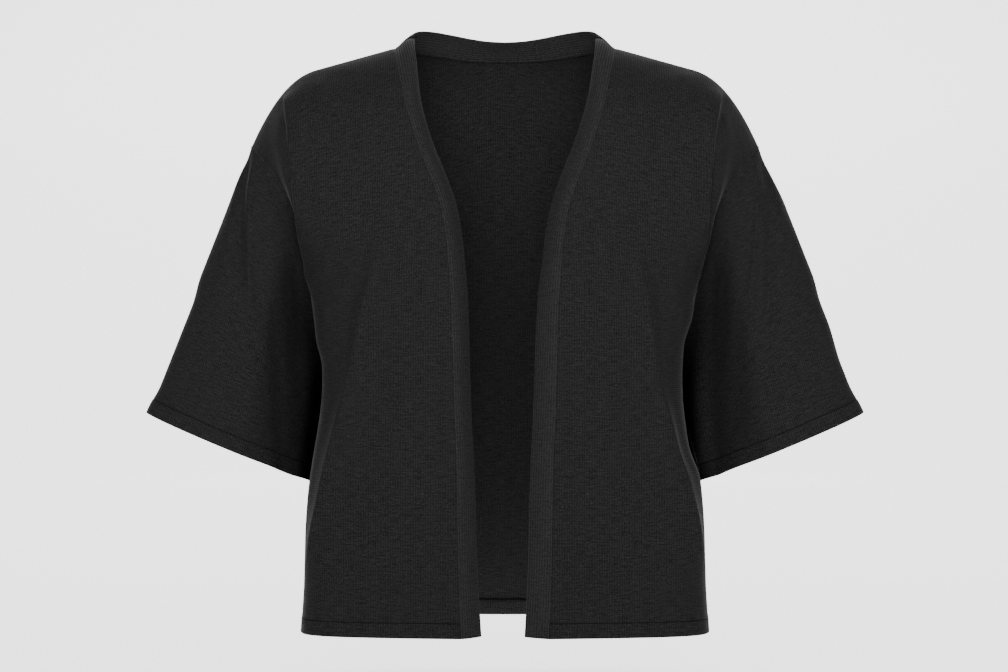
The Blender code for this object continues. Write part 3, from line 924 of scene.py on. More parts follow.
def noise(tree: Tree, cloth: Socket, size_mm: tuple[float, float], detail: float) -> Socket:
    """Soft noise on the cloth.

    Args:
        tree: The material's nodes.
        cloth: The UV socket, in metres.
        size_mm: The size of its blots across and along the cloth.
        detail: How many finer layers it has.

    Returns:
        The socket of its level, from 0 to 1.
    """
    scale = (1 / (size_mm[0] * MM), 1 / (size_mm[1] * MM), 1.0)
    place = node(tree, "ShaderNodeMapping", {"Vector": cloth, "Scale": scale}).outputs["Vector"]
    return node(tree, "ShaderNodeTexNoise", {"Vector": place, "Scale": 1.0, "Detail": detail}).outputs["Fac"]


def ridges(tree: Tree, cloth: Socket, axis: str, spacing: float) -> Socket:
    """Even ridges across one direction of the cloth: a sine of its measure, from 0 to 1.

    Args:
        tree: The material's nodes.
        cloth: The UV socket, in metres.
        axis: X for wales, Y for courses.
        spacing: From one ridge to the next, in millimetres.

    Returns:
        The socket of the height.
    """
    measure = node(tree, "ShaderNodeSeparateXYZ", {0: cloth}).outputs[axis]
    turn = maths(tree, "MULTIPLY", measure, 2 * math.pi / (spacing * MM))
    return ranged(tree, maths(tree, "SINE", turn), -1.0, 1.0)


@dataclass(frozen=True)
class KnitFinish:
    """Fine melange knit, laid out on each piece's own UV map, whose unit is a metre of cloth.

    Wales are the upright columns of stitches and courses the level rows; both are drawn at about twice their
    real spacing, because the real ones are too fine to show.
    """

    name: str
    dark_hex: str
    light_hex: str
    fleck_hex: str
    wale_mm: float
    course_mm: float
    wale_depth: float
    streak_share: float
    fleck_share: float
    bump_mm: float
    streak_mm: tuple[float, float] = (11.0, 1.5)
    mottle_mm: tuple[float, float] = (2.0, 1.6)
    fleck_mm: tuple[float, float] = (2.0, 1.4)
    shade_low: float = 0.40
    shade_high: float = 0.70
    fleck_level: float = 0.78
    fleck_edge: float = 0.10
    roughness: float = 0.92
    gloss: float = 0.12
    sheen: float = 0.10
    sheen_roughness: float = 0.25
    mottle_relief: float = 0.8
    relief_strength: float = 0.9
    # How much painted shade darkens the cloth at the bottom of the underarm creases
    crease_depth: float = 0.96
    # Painted shade lines along the hems' stitch grooves: their places, their width and how much of the colour
    # they leave
    hem_stitches: tuple[float, ...] = ()
    stitch_mm: float = 0.6
    stitch_shade: float = 0.55

    def colour(self, tree: Tree, cloth: Socket, mottle: Socket, wales: Socket) -> Socket:
        """The yarn's colour: two shades blended by level streaks, mottle and wales, with pale flecks on top.

        Args:
            tree: The material's nodes.
            cloth: The UV socket.
            mottle: The mottle's level.
            wales: The wales' height.

        Returns:
            The socket of the colour.
        """
        streaks = maths(tree, "MULTIPLY", noise(tree, cloth, self.streak_mm, 2.0), self.streak_share)
        mottled = maths(tree, "MULTIPLY_ADD", mottle, 1 - self.streak_share, streaks)
        shade = maths(tree, "MULTIPLY_ADD", wales, self.wale_depth, mottled)
        yarn_share = ranged(tree, shade, self.shade_low, self.shade_high)
        yarn = mixed(tree, yarn_share, srgb(self.dark_hex), srgb(self.light_hex))
        low = self.fleck_level - self.fleck_share
        flecks = ranged(tree, noise(tree, cloth, self.fleck_mm, 1.0), low, low + self.fleck_edge)
        return mixed(tree, flecks, yarn, srgb(self.fleck_hex))

    def painted_shade_share(self, tree: Tree, cloth: Socket) -> Socket:
        """How much of its colour and gloss the cloth keeps under painted shade: less in the underarm creases
        and along the hem's stitches.

        Args:
            tree: The material's nodes.
            cloth: The UV socket.

        Returns:
            The socket of the share.
        """
        # Painted shade in the underarm creases, read from the sleeves' crease attribute
        crease = node(tree, "ShaderNodeAttribute", attribute_name="crease").outputs["Fac"]
        share = ranged(tree, crease, 0.0, 1.0, 1.0, 1 - self.crease_depth)
        up = node(tree, "ShaderNodeSeparateXYZ", {0: cloth}).outputs["Y"]
        # Painted shade lines along the stitch grooves of the hems and cuffs
        for place in self.hem_stitches:
            line = maths(tree, "COMPARE", up, place * MM, self.stitch_mm * MM)
            share = maths(tree, "MULTIPLY", share, ranged(tree, line, 0.0, 1.0, 1.0, self.stitch_shade))
        return share

    def material(self) -> bpy.types.Material:
        """Makes the knit: matt yarn with a faint bloom, with painted shade in the underarm creases and along
        the hems' stitches, in relief by wales and courses.

        Returns:
            The material.
        """
        constants = {
            "Roughness": self.roughness,
            "Sheen Weight": self.sheen,
            "Sheen Roughness": self.sheen_roughness,
        }
        made, shader = principled(self.name, constants)
        tree = made.node_tree
        cloth = node(tree, "ShaderNodeUVMap", uv_map="cloth").outputs["UV"]
        mottle = noise(tree, cloth, self.mottle_mm, 2.0)
        wales = ridges(tree, cloth, "X", self.wale_mm)
        colour, share = self.colour(tree, cloth, mottle, wales), self.painted_shade_share(tree, cloth)
        # Painted shade: the colour here and the gloss below are scaled down by the share
        shaded = node(tree, "ShaderNodeVectorMath", {0: colour, "Scale": share}, operation="SCALE")
        tree.links.new(shaded.outputs[0], shader.inputs["Base Color"])
        tree.links.new(maths(tree, "MULTIPLY", share, self.gloss), shader.inputs["Specular IOR Level"])
        loops = maths(tree, "MULTIPLY", wales, ridges(tree, cloth, "Y", self.course_mm))
        height = maths(tree, "MULTIPLY_ADD", mottle, self.mottle_relief, loops)
        relief = {"Strength": self.relief_strength, "Distance": self.bump_mm * MM, "Height": height}
        tree.links.new(node(tree, "ShaderNodeBump", relief).outputs["Normal"], shader.inputs["Normal"])
        return made


@dataclass(frozen=True)
class PaperFinish:
    """Matt studio paper, which glows behind the garment and not in front, so it stays pale and plain."""

    name: str
    colour_hex: str
    roughness: float
    glow: float
    glow_from: float
    glow_full: float

    def material(self) -> bpy.types.Material:
        """Makes the paper: its glow rises with the depth behind the garment's front, in metres.

        Returns:
            The material.
        """
        colour = srgb(self.colour_hex)
        constants = {"Base Color": colour, "Emission Color": colour, "Roughness": self.roughness}
        made, shader = principled(self.name, constants)
        tree = made.node_tree
        place = node(tree, "ShaderNodeTexCoord").outputs["Object"]
        depth = node(tree, "ShaderNodeSeparateXYZ", {0: place}).outputs["Y"]
        glow = ranged(tree, depth, self.glow_from, self.glow_full, 0.0, self.glow)
        tree.links.new(glow, shader.inputs["Emission Strength"])
        return made


# Jersey: black and grey fibres are mixed before the yarn is spun, and it is knitted in fine plain loops.
# The eye sees matt charcoal with faint level streaks, pale flecks and upright wales. Painted shade draws dark
# lines along the hems' stitch grooves and darkens the sleeves' underarm creases.
JERSEY = KnitFinish(
    name="melange jersey",
    dark_hex="#171717",
    light_hex="#2f2f2f",
    fleck_hex="#4c4c4c",
    wale_mm=2.4,
    course_mm=2.2,
    wale_depth=0.10,
    streak_share=0.42,
    fleck_share=0.08,
    bump_mm=0.25,
    # Painted shade lines at the stitch grooves of the front hems and cuffs, and of the back hem
    hem_stitches=(HEM_DEPTH - STITCH_INSET, BODY_GIRTH - HEM_DEPTH + STITCH_INSET),
)
# Rib: the same yarn is knitted with raised and sunk wales in turn, and the strip is folded double. The eye
# sees fine lines along the band, slightly paler than the jersey, because the raised wales catch the light.
# That light is partly painted: the rib's colours are paler than the jersey's and striped along the wales,
# besides the wales' relief.
RIB = KnitFinish(
    name="melange rib",
    dark_hex="#191919",
    light_hex="#343434",
    fleck_hex="#505050",
    wale_mm=2.6,
    course_mm=2.2,
    wale_depth=0.18,
    streak_share=0.35,
    fleck_share=0.07,
    bump_mm=0.32,
)
# Studio paper: uncoated white paper from a roll. The eye sees an even pale ground with no edge or grain.
PAPER = PaperFinish("white studio paper", "#f0f0f0", 0.95, glow=2.5, glow_from=-0.08, glow_full=0.04)


def placed(name: str, data: bpy.types.ID) -> bpy.types.Object:
    """Puts a new object into the scene.

    Args:
        name: The object's name.
        data: Its mesh, camera or light.

    Returns:
        The object, at the origin.
    """
    made = bpy.data.objects.new(name, data)
    bpy.context.scene.collection.objects.link(made)
    return made


def mesh_object(
    name: str, points: np.ndarray, faces: np.ndarray, uv: np.ndarray | None = None
) -> bpy.types.Object:
    """A smooth-shaded object from points in millimetres.

    Args:
        name: The piece's name.
        points: All points.
        faces: Four point numbers a face.
        uv: A place on the cloth for each point, in metres.

    Returns:
        The object, at the origin.
    """
    mesh = bpy.data.meshes.new(name)
    mesh.from_pydata((points.reshape(-1, 3) * MM).tolist(), [], faces.reshape(-1, faces.shape[-1]).tolist())
    if uv is not None:
        layer = mesh.uv_layers.new(name="cloth")
        corner = np.empty(len(mesh.loops), dtype=np.int32)
        mesh.loops.foreach_get("vertex_index", corner)
        layer.data.foreach_set("uv", uv.reshape(-1, 2)[corner].astype(np.float32).ravel())
    mesh.shade_smooth()
    return placed(name, mesh)


def grid_faces(rows: int, columns: int, closed: bool = False) -> np.ndarray:
    """The quads between the points of a grid, each wound along its row first.

    Args:
        rows: How many rows the grid has.
        columns: How many points a row has.
        closed: Whether the last column joins the first.

    Returns:
        Four point numbers for each quad.
    """
    index = np.arange(rows * columns).reshape(rows, columns)
    if closed:
        index = np.concatenate([index, index[:, :1]], axis=1)
    return np.stack([index[:-1, :-1], index[:-1, 1:], index[1:, 1:], index[1:, :-1]], axis=-1)


@dataclass(frozen=True)
class SeamEdge:
    """How a panel's edge is turned in at a seam: its tilt, and each row's ditch, which is a welt below 0."""

    tilt: float
    ditch: np.ndarray


@dataclass
class Panel:
    """A cut piece of knit: an open surface with a thin wall, turned-in seam edges and a turned hem."""

    name: str
    side: Side
    shell: BodyShell
    finish: bpy.types.Material
    wall: float = 1.2
    hem_wall: float = 2.3
    hem_step: float = 0.55
    hem_step_width: float = 1.6
    hem_blend: float = 2.0
    seam_gap: float = 0.08
    ditch_depth: float = 0.6
    ditch_width: float = 1.5
    flange_depth: float = 3.0
    flange_tilt: float = 0.2
    armhole_welt: float = -0.9
    welt_fade: float = 30.0
    groove_depth: float = 0.8
    groove_reach: float = 0.8
    stitch_spacing: float = 0.5
    row_spacing: float = 3.2

    def rows(self) -> np.ndarray:
        """Places the rows, close together at the hem's stitches and at the shoulder.

        Returns:
            Their distances from the hem.
        """
        top = (SHOULDER_GIRTH - self.seam_gap / 2, 1.3)
        middle = (SHOULDER_GIRTH - 8, self.row_spacing)
        return ladder((0, 0), (13, 2.2), (HEM_DEPTH + 2, self.stitch_spacing), middle, top)

    def hemmed(self, grid: np.ndarray, from_hem: np.ndarray, closed: bool = False) -> np.ndarray:
        """Raises the turned hem by its extra layer, and presses a groove where the stitches hold it.

        Args:
            grid: Points by row and column.
            from_hem: Each point's distance from the hem's fold.
            closed: Whether the last column joins the first.

        Returns:
            The grid moved along its normals.
        """
        raised = self.hem_step * smooth_step((HEM_DEPTH - from_hem) / self.hem_step_width + 0.5)
        groove = self.groove_depth * bell(from_hem - HEM_DEPTH + STITCH_INSET, self.groove_reach)
        return grid + grid_normals(grid, closed) * (raised - groove)[..., None]

    def seam_columns(self, grid: np.ndarray, first: SeamEdge, last: SeamEdge) -> np.ndarray:
        """Sinks or lifts the columns near each seam by a bell, and turns a narrow seam allowance in.

        Args:
            grid: Points by row and column.
            first: The seam at the first column.
            last: The seam at the last column.

        Returns:
            The grid, with two more columns at each seam.
        """
        normal = grid_normals(grid)
        lengths = along(grid)
        sunk = grid
        for edge, from_seam in ((first, lengths), (last, lengths[:, -1:] - lengths)):
            sunk = sunk - normal * (edge.ditch * bell(from_seam, self.ditch_width))[..., None]
        depths = (self.flange_depth / 3, self.flange_depth)
        turn_first = unit(sunk[:, 1:2] - sunk[:, :1]) * first.tilt - normal[:, :1]
        turn_last = unit(sunk[:, -2:-1] - sunk[:, -1:]) * last.tilt - normal[:, -1:]
        before = [sunk[:, :1] + turn_first * depth for depth in depths[::-1]]
        behind = [sunk[:, -1:] + turn_last * depth for depth in depths]
        return np.concatenate([*before, sunk, *behind], axis=1)

    def side_edge(self, girth: np.ndarray) -> SeamEdge:
        """The side seam's ditch, which turns to a slight welt along the armhole above it."""
        upper = smooth_step((to_hem(girth) - UNDERARM_GIRTH) / self.welt_fade)
        return SeamEdge(self.flange_tilt, self.ditch_depth + (self.armhole_welt - self.ditch_depth) * upper)

    def sewn(
        self, grid: np.ndarray, uv: np.ndarray, from_hem: np.ndarray, edges: tuple[SeamEdge, SeamEdge]
    ) -> bpy.types.Object:
        """Makes a piece that has a seam on either side.

        Args:
            grid: Points by row and column.
            uv: Places on the cloth, in metres.
            from_hem: Each row's distance from the hem's fold.
            edges: The seams at the first and the last column.

        Returns:
            The finished piece.
        """
        from_hem = np.broadcast_to(from_hem, grid.shape[:2])
        grid = self.seam_columns(self.hemmed(grid, from_hem), *edges)
        from_hem = np.broadcast_to(from_hem[:, :1], grid.shape[:2])
        return self.wrap(grid, np.pad(uv, ((0, 0), (2, 2), (0, 0)), mode="edge"), from_hem)

    def wrap(
        self, grid: np.ndarray, uv: np.ndarray, from_hem: np.ndarray, closed: bool = False
    ) -> bpy.types.Object:
        """Makes the piece: the grid is its outer face, and Solidify adds its wall inside, thicker on the hem.

        Args:
            grid: Points by row and column.
            uv: Places on the cloth, in metres.
            from_hem: Each point's distance from the hem's fold.
            closed: Whether the last column joins the first.

        Returns:
            The finished piece.
        """
        piece = mesh_object(self.name, grid, grid_faces(*grid.shape[:2], closed), uv)
        piece.data.materials.append(self.finish)
        group = piece.vertex_groups.new(name="turned hem")
        on_hem = np.round(smooth_step((HEM_DEPTH - from_hem) / self.hem_blend + 0.5), 2).ravel()
        for weight in np.unique(on_hem):
            group.add(np.flatnonzero(on_hem == weight).tolist(), float(weight), "REPLACE")
        solidify = piece.modifiers.new("Wall", "SOLIDIFY")
        solidify.thickness = self.hem_wall * MM
        solidify.offset = -1.0
        solidify.vertex_group = group.name
        solidify.thickness_vertex_group = self.wall / self.hem_wall
        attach(piece, "root")
        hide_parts(self.name.replace("_cloth", ""))
        return piece


@dataclass
class FrontPanel(Panel):
    """A front: from the hem to the shoulder seam, and from the band's seam to the side seam and armhole."""

    band_tilt: float = -0.03
    inner_width: float = 150.0
    outer_width: float = 48.0
    cut_width: float = 0.262
    cut_length: float = 0.640
    cut_area: float = 0.124

    def build(self) -> bpy.types.Object:
        """Builds the panel: its columns are close together at both seams and at the armhole fold's crest.

        Returns:
            The finished piece.
        """
        girth = self.rows()[:, None]
        length = self.shell.length_at(girth)
        inset = self.seam_gap / 2
        start = self.shell.opening_share(girth[:, 0])[:, None] * length + inset
        end = length - inset
        crest = ARMHOLE_FOLD.place(girth, self.side)
        inside, outside = self.inner_width, self.outer_width
        inner = ladder((0, 0), (4, 1.2), (inside - 8, 2.8), (inside, 1.1)) / inside
        outer = ladder((0, 0), (12, 1.1), (outside - 4, 2.6), (outside, 1.2)) / outside
        place = np.concatenate([start + (crest - start) * inner, crest + (end - crest) * outer[1:]], axis=1)
        grid = self.shell.points(girth, place / length, self.side)
        uv = np.stack(np.broadcast_arrays(place, girth), axis=-1) * MM
        edges = (SeamEdge(self.band_tilt, np.full_like(girth, self.ditch_depth)), self.side_edge(girth))
        if self.side is Side.LEFT:
            grid, uv, edges = grid[:, ::-1], uv[:, ::-1], edges[::-1]
        return self.sewn(grid, uv, girth, edges)


@dataclass
class BackPanel(Panel):
    """The back: one panel from the hem to the shoulder seams and the neck seam."""

    stitch_spacing: float = 0.6
    row_spacing: float = 3.6
    neck_columns: int = 30
    neck_reach_power: float = 6.0
    cut_width: float = 0.560
    cut_length: float = 0.640
    cut_area: float = 0.305

    def build(self) -> bpy.types.Object:
        """Builds the panel: its middle columns follow the neckline at the top and run level below it.

        Returns:
            The finished piece.
        """
        up = self.rows()[:, None]
        girth = BODY_GIRTH - up
        rise = (up / SHOULDER_GIRTH) ** self.neck_reach_power
        inset = self.seam_gap / 2 / self.shell.length_at(girth)
        neck_point = self.shell.opening_share(np.array([SHOULDER_GIRTH]))[0]
        even = neck_point * np.arange(self.neck_columns) / self.neck_columns
        neckline = self.shell.neck_girths(self.neck_columns)
        round_share = self.shell.opening_share(neckline)
        neck_part = even + (round_share - even) * rise + inset * (round_share > 0)
        spread = ladder((0, 0), (0.02, 0.007), (0.975, 0.018), (1, 0.006))
        outer_part = neck_point + inset + (1 - neck_point - 2 * inset) * spread
        share = np.concatenate([neck_part, outer_part], axis=1)
        dip = np.concatenate([neckline - SHOULDER_GIRTH, np.zeros(len(spread))])
        half_girth = girth + dip * rise
        left, right = (self.shell.points(half_girth, share, side) for side in (Side.LEFT, Side.RIGHT))
        uv = np.stack([share * self.shell.length_at(half_girth), half_girth], axis=-1) * MM
        grid = np.concatenate([left[:, :0:-1], right], axis=1)[:, ::-1]
        uv = np.concatenate([uv[:, :0:-1] * (-1, 1), uv], axis=1)[:, ::-1]
        return self.sewn(grid, uv, up, (self.side_edge(girth), self.side_edge(girth)))


@dataclass
class Sleeve(Panel):
    """A wide sleeve: a tube of straight lines from armhole to cuff, set back beside the body, with folds."""

    cuff_outer: tuple[float, float, float] = (358.0, 2.0, -360.0)
    cuff_inner: tuple[float, float, float] = (187.5, 12.0, -432.0)
    cuff_half_depth: float = 50.0
    cuff_squareness: float = 2.3
    cuff_samples: int = 721
    loop_spacing: float = 2.1
    head_rings: tuple[float, ...] = (0.0, 0.004, 0.009)
    even_start: float = 0.016
    even_rings: int = 84
    stitch_spacing: float = 0.65
    bow: float = 22.0
    bow_reach: float = 0.24
    bow_start: float = 0.38
    bow_end: float = 0.48
    tuck: float = 3.5
    tuck_place: float = 0.15
    tuck_length: float = 0.055
    sink: float = 26.0
    sink_start: float = 0.42
    sink_front: tuple[float, float] = (0.50, 0.82)
    sink_return: float = 0.85
    sink_return_start: float = 0.80
    sink_back_reach: float = 0.20
    seam_stand_off: float = 0.05
    stand_off: float = 2.8
    stand_off_start: float = 0.06
    stand_off_reach: float = 0.4
    crisp_rounding: float = 1.0
    head_ditch: float = 0.1
    # Painted shade in the underarm crease: where it starts beside the fold's edge, how far it reaches, how it
    # fades upward and how far back it goes
    crease_shade_start: float = 9.0
    crease_shade_reach: float = 13.0
    crease_fade: float = 150.0
    crease_back: float = 30.0
    cut_width: float = 0.430
    cut_length: float = 0.290
    cut_area: float = 0.094

    def loop(self) -> tuple[np.ndarray, np.ndarray]:
        """Goes once round the armhole, from its top down the front and up the back.

        Returns:
            The points, and their shares of the way round: 0 at the top, 1 at the underarm, below 0 behind.
        """
        girth = ladder((UNDERARM_GIRTH, 0), (SHOULDER_GIRTH, self.loop_spacing))
        front = self.shell.outer_edge(girth[::-1])
        behind = self.shell.outer_edge(BODY_GIRTH - girth)
        around_front = along(front) / along(front)[-1]
        around_behind = along(behind) / along(behind)[-1] - 1
        return np.concatenate([front, behind[1:-1]]), np.concatenate([around_front, around_behind[1:-1]])

    def cuff(self, around: np.ndarray) -> np.ndarray:
        """The cuff's edge: a flattened, slightly square oval |x|^p + |y|^p = 1 between its two corners.

        Args:
            around: The points' shares of the way round.

        Returns:
            The edge's points.
        """
        outer, inner = np.array(self.cuff_outer), np.array(self.cuff_inner)
        angle = np.linspace(0, np.pi, self.cuff_samples)
        power = 2 / self.cuff_squareness
        forward = self.cuff_half_depth * np.abs(np.sin(angle)) ** power
        across = (1 - np.sign(np.cos(angle)) * np.abs(np.cos(angle)) ** power) / 2
        half = outer + (inner - outer) * across[:, None] + np.array([0, -1, 0]) * forward[:, None]
        share = along(half) / along(half)[-1]
        place = np.abs(around)
        depth = np.interp(place, share, forward) * np.where(around < 0, 1, -1)
        middle = outer + (inner - outer) * np.interp(place, share, across)[:, None]
        return middle + np.array([0, 1, 0]) * depth[:, None]

    def rings_down(self, length: np.ndarray) -> np.ndarray:
        """Places the rings from the armhole's seam to the cuff: even to the hem, and close together on it.

        Args:
            length: The way from seam to cuff at each point round the sleeve.

        Returns:
            Shares of the way, by ring and point.
        """
        gap = self.seam_gap / length
        hem = 1 - (HEM_DEPTH + 2) / length
        even = np.concatenate([self.head_rings, np.linspace(self.even_start, 1, self.even_rings)])
        up = ladder((0, 0), (2, 2), (HEM_DEPTH + 1.2, self.stitch_spacing))[::-1]
        on_hem = (1 - up / up[0])[1:]
        return np.concatenate([gap + (hem - gap) * even[:, None], hem + (1 - hem) * on_hem[:, None]])

    def shaped(self, rings: np.ndarray, t: np.ndarray, around: np.ndarray) -> np.ndarray:
        """Shapes the straight tube beside the body: each change is a bell round it times steps down it.

        It is bowed in towards the body and tucked below the underarm, set back in front and returned at the
        underarm, and stands off a little beside the seam.

        Args:
            rings: Points by ring and place round the sleeve.
            t: Their shares of the way down.
            around: Their shares of the way round.

        Returns:
            The points moved.
        """
        place = np.abs(around)
        bow = self.bow * smooth_step(t / self.bow_start) * smooth_step((1 - t) / self.bow_end)
        bow = bow + self.tuck * bell(t - self.tuck_place, self.tuck_length)
        off = self.seam_stand_off + self.stand_off * smooth_step(t / self.stand_off_start)
        off = off * (1 - t) * bell(1 - place, self.stand_off_reach)
        inwards = bow * bell(1 - place, self.bow_reach) - off
        low, high = self.sink_front
        returned = smooth_step((place - self.sink_return_start) / (1 - self.sink_return_start))
        before = smooth_step((place - low) / (high - low)) * (1 - self.sink_return * returned)
        behind = (1 - self.sink_return) * (1 - smooth_step((1 - place) / self.sink_back_reach))
        back = self.sink * smooth_step(t / self.sink_start) * np.where(around > 0, before, behind)
        return rings + np.stack([-inwards, back, np.zeros_like(back)], axis=-1)

    def folds(self, rings: np.ndarray, around: np.ndarray) -> np.ndarray:
        """The folds: each is a bell round the arm, or a crest as sharp as a crisp fold's, faded at its ends.

        Args:
            rings: Points by ring and place round the sleeve.
            around: The places' shares of the way round.

        Returns:
            How far each point moves.
        """
        round_step = np.roll(rings, -1, axis=1) - rings
        normal = unit(np.cross(np.gradient(rings, axis=0), round_step + np.roll(round_step, 1, axis=1)))
        normal = towards(normal, rings - rings.mean(axis=1, keepdims=True))
        half_round = np.linalg.norm(round_step, axis=-1).sum(axis=1, keepdims=True) / 2
        down = along(rings.transpose(1, 0, 2)).T
        down = down / down[-1:]
        total = np.zeros(rings.shape[:2])
        for fold in on_side(SLEEVE_FOLDS, self.side):
            t = (down - fold.start) / (fold.end - fold.start)
            apart = around - (fold.around_start + (fold.around_end - fold.around_start) * t)
            apart = (apart - 2 * np.round(apart / 2)) * half_round
            if fold.crisp:
                crest = np.exp(-rounded(apart, self.crisp_rounding) / fold.width)
            else:
                crest = bell(apart, fold.width)
            total += fold.height * crest * fold_ends(t, runs_out=fold.end > 1)
        return normal * total[..., None]

    def crease_shade(self, grid: np.ndarray) -> np.ndarray:
        """How much painted shade each point gets in the crease beside the body: a bell of the distance from
        the fold before it.

        Args:
            grid: Points by row and column.

        Returns:
            0 on open cloth to 1 where the painted shade is darkest, at the bottom of the crease.
        """
        edge = np.array(CREASE_EDGES[self.side])
        across, depth, height = np.moveaxis(grid, -1, 0)
        apart = across * self.side.value - np.interp(height, edge[:, 0], edge[:, 1]) - self.crease_shade_start
        shade = bell(np.maximum(apart, 0), self.crease_shade_reach) * (depth < self.crease_back)
        return shade * smooth_step((edge[-1, 0] - height) / self.crease_fade)

    def build(self) -> bpy.types.Object:
        """Builds the sleeve from its armhole seam to its cuff.

        Returns:
            The finished piece.
        """
        start, around = self.loop()
        end = self.cuff(around)
        length = np.linalg.norm(end - start, axis=1)
        t = self.rings_down(length)
        rings = self.shaped(start + (end - start) * t[..., None], t, around)
        grid = (rings + self.folds(rings, around)) * (self.side.value, 1, 1)
        to_cuff = (1 - t) * length
        around_mm = np.cumsum(np.linalg.norm(np.diff(end, axis=0, append=end[:1]), axis=-1))
        uv = np.stack([np.broadcast_to(around_mm, t.shape), to_cuff], axis=-1) * MM
        if self.side is Side.LEFT:
            grid, uv, to_cuff = grid[:, ::-1], uv[:, ::-1], to_cuff[:, ::-1]
        grid = self.hemmed(grid, to_cuff, closed=True)
        ditch = self.head_ditch * bell(along(grid.transpose(1, 0, 2)).T, self.ditch_width)
        grid = grid - grid_normals(grid, closed=True) * ditch[..., None]
        piece = self.wrap(grid, uv, to_cuff, closed=True)
        # Painted shade: the crease attribute darkens the cloth's colour and gloss in the underarm crease
        # beside the body
        crease = piece.data.attributes.new("crease", "FLOAT", "POINT")
        crease.data.foreach_set("value", self.crease_shade(grid).ravel().astype(np.float32))
        return piece


class BandFace(NamedTuple):
    """The band's outer face: its points and normals, and their distances across and along the cloth."""

    points: np.ndarray
    normal: np.ndarray
    across_mm: np.ndarray
    along_mm: np.ndarray


@dataclass
class NeckBand:
    """The doubled rib strip, sewn round both front edges and the back neck."""

    shell: BodyShell
    finish: bpy.types.Material
    width: float = 24.0
    thickness: float = 2.4
    seam_gap: float = 0.08
    seam_strip: float = 2.5
    flat_reach: float = 6.0
    edge_reach: float = 9.0
    ditch_depth: float = 0.6
    ditch_width: float = 1.5
    stitch_rows: tuple[float, float] = (1.8, 4.2)
    stitch_height: float = 0.5
    stitch_width: float = 0.55
    edge_points: int = 6
    edge_softening: int = 14
    neck_points: int = 40
    normal_step: float = 1.0

    def half(self, side: Side) -> tuple[np.ndarray, ...]:
        """Half of the band, from its hem to the middle of the back neck.

        Args:
            side: Which half.

        Returns:
            Points of its seam, the outward direction of the panel there, its lean and its roll.
        """
        front = ladder((0, 0), (SHOULDER_GIRTH - 3, 3.8), (SHOULDER_GIRTH, 1.5))
        girth = np.concatenate([front, self.shell.neck_girths(self.neck_points)[::-1]])
        share = self.shell.opening_share(girth)
        seam = self.shell.points(girth, share, side)
        _, normal = row_and_normal(partial(self.shell.points, side=side), girth, share, self.normal_step)
        name = side.name.lower()
        inward = -side.value * column(BAND_LEANS, "in_" + name, girth)
        lean = [inward, column(BAND_LEANS, "back_" + name, girth), column(BAND_LEANS, "up", girth)]
        return seam, normal * side.value, np.stack(lean, axis=-1), column(BAND_LEANS, "roll", girth)

    def outer_face(self) -> BandFace:
        """The outer face: a cubic curve from seam to free edge, bowed by its roll, carried along the seam.

        Returns:
            The face, with the seam's ditch.
        """
        halves = zip(self.half(Side.LEFT), self.half(Side.RIGHT))
        seam, outward, lean, roll = (np.concatenate([left, right[-2::-1]]) for left, right in halves)
        lean = softened(lean, self.edge_softening)
        along_mm = along(seam)
        tangent = unit(np.gradient(seam, along_mm, axis=0))
        flat = towards(unit(np.cross(outward, tangent)), lean)
        direction = unit(lean - tangent * np.sum(lean * tangent, axis=1, keepdims=True))
        face = towards(unit(np.cross(direction, tangent)), outward)
        chord = 2 * np.sqrt(((self.width - self.seam_strip) / 2) ** 2 - roll**2)[:, None]
        start = seam + flat * self.seam_gap / 2
        end = seam + flat * self.seam_strip + direction * chord
        s = ladder((0, 0), (0.26, 0.026), (0.94, 0.075), (1, 0.03))[None, :, None]
        hold = [start, start + flat * self.flat_reach, end - direction * self.edge_reach, end]
        weight = [(1 - s) ** 3, 3 * s * (1 - s) ** 2, 3 * s**2 * (1 - s), s**3]
        points = sum(w * h[:, None] for w, h in zip(weight, hold))
        points = points + face[:, None] * roll[:, None, None] * 4 * s**2 * (1 - s)
        normal = unit(np.cross(np.gradient(points, axis=1), tangent[:, None]))
        facing = np.sum(normal * outward[:, None], axis=-1, keepdims=True)
        normal *= np.sign(facing.mean(axis=1, keepdims=True))
        across_mm = along(points)
        points = points - normal * (self.ditch_depth * bell(across_mm, self.ditch_width))[..., None]
        return BandFace(points, normal, across_mm, along_mm)

    def section(self, face: BandFace) -> np.ndarray:
        """Closes the section by a half circle at the free edge, and raises the twin stitches on the inside.

        Args:
            face: The outer face.

        Returns:
            Points by row and place round the section.
        """
        stitches = sum(bell(face.across_mm - row, self.stitch_width) for row in self.stitch_rows)
        inner = face.points - face.normal * (self.thickness + self.stitch_height * stitches[..., None])
        turn = np.linspace(0, np.pi, self.edge_points + 2)[1:-1][None, :, None]
        edge, normal = face.points[:, -1:], face.normal[:, -1:]
        onward = unit(edge - face.points[:, -2:-1])
        rim = edge + self.thickness / 2 * (normal * (np.cos(turn) - 1) + onward * np.sin(turn))
        return np.concatenate([face.points, rim, inner[:, ::-1]], axis=1)

    def build(self) -> bpy.types.Object:
        """Builds the band: its closed section carried along the seam, with both ends capped.

        Returns:
            The finished piece.
        """
        face = self.outer_face()
        ring = self.section(face)
        wide_mm = along(ring)
        uv = np.stack([wide_mm, np.broadcast_to(face.along_mm[:, None], wide_mm.shape)], axis=-1) * MM
        rows, count = ring.shape[:2]
        tube = grid_faces(rows, count, closed=True).reshape(-1, 4)
        near = np.arange(count // 2 - 1)
        cap = np.stack([near, near + 1, count - 2 - near, count - 1 - near], axis=-1)
        faces = np.concatenate([tube, cap[:, ::-1], cap + (rows - 1) * count])
        piece = mesh_object("band_cloth", ring, faces, uv)
        piece.data.materials.append(self.finish)
        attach(piece, "root")
        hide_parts("band")
        return piece


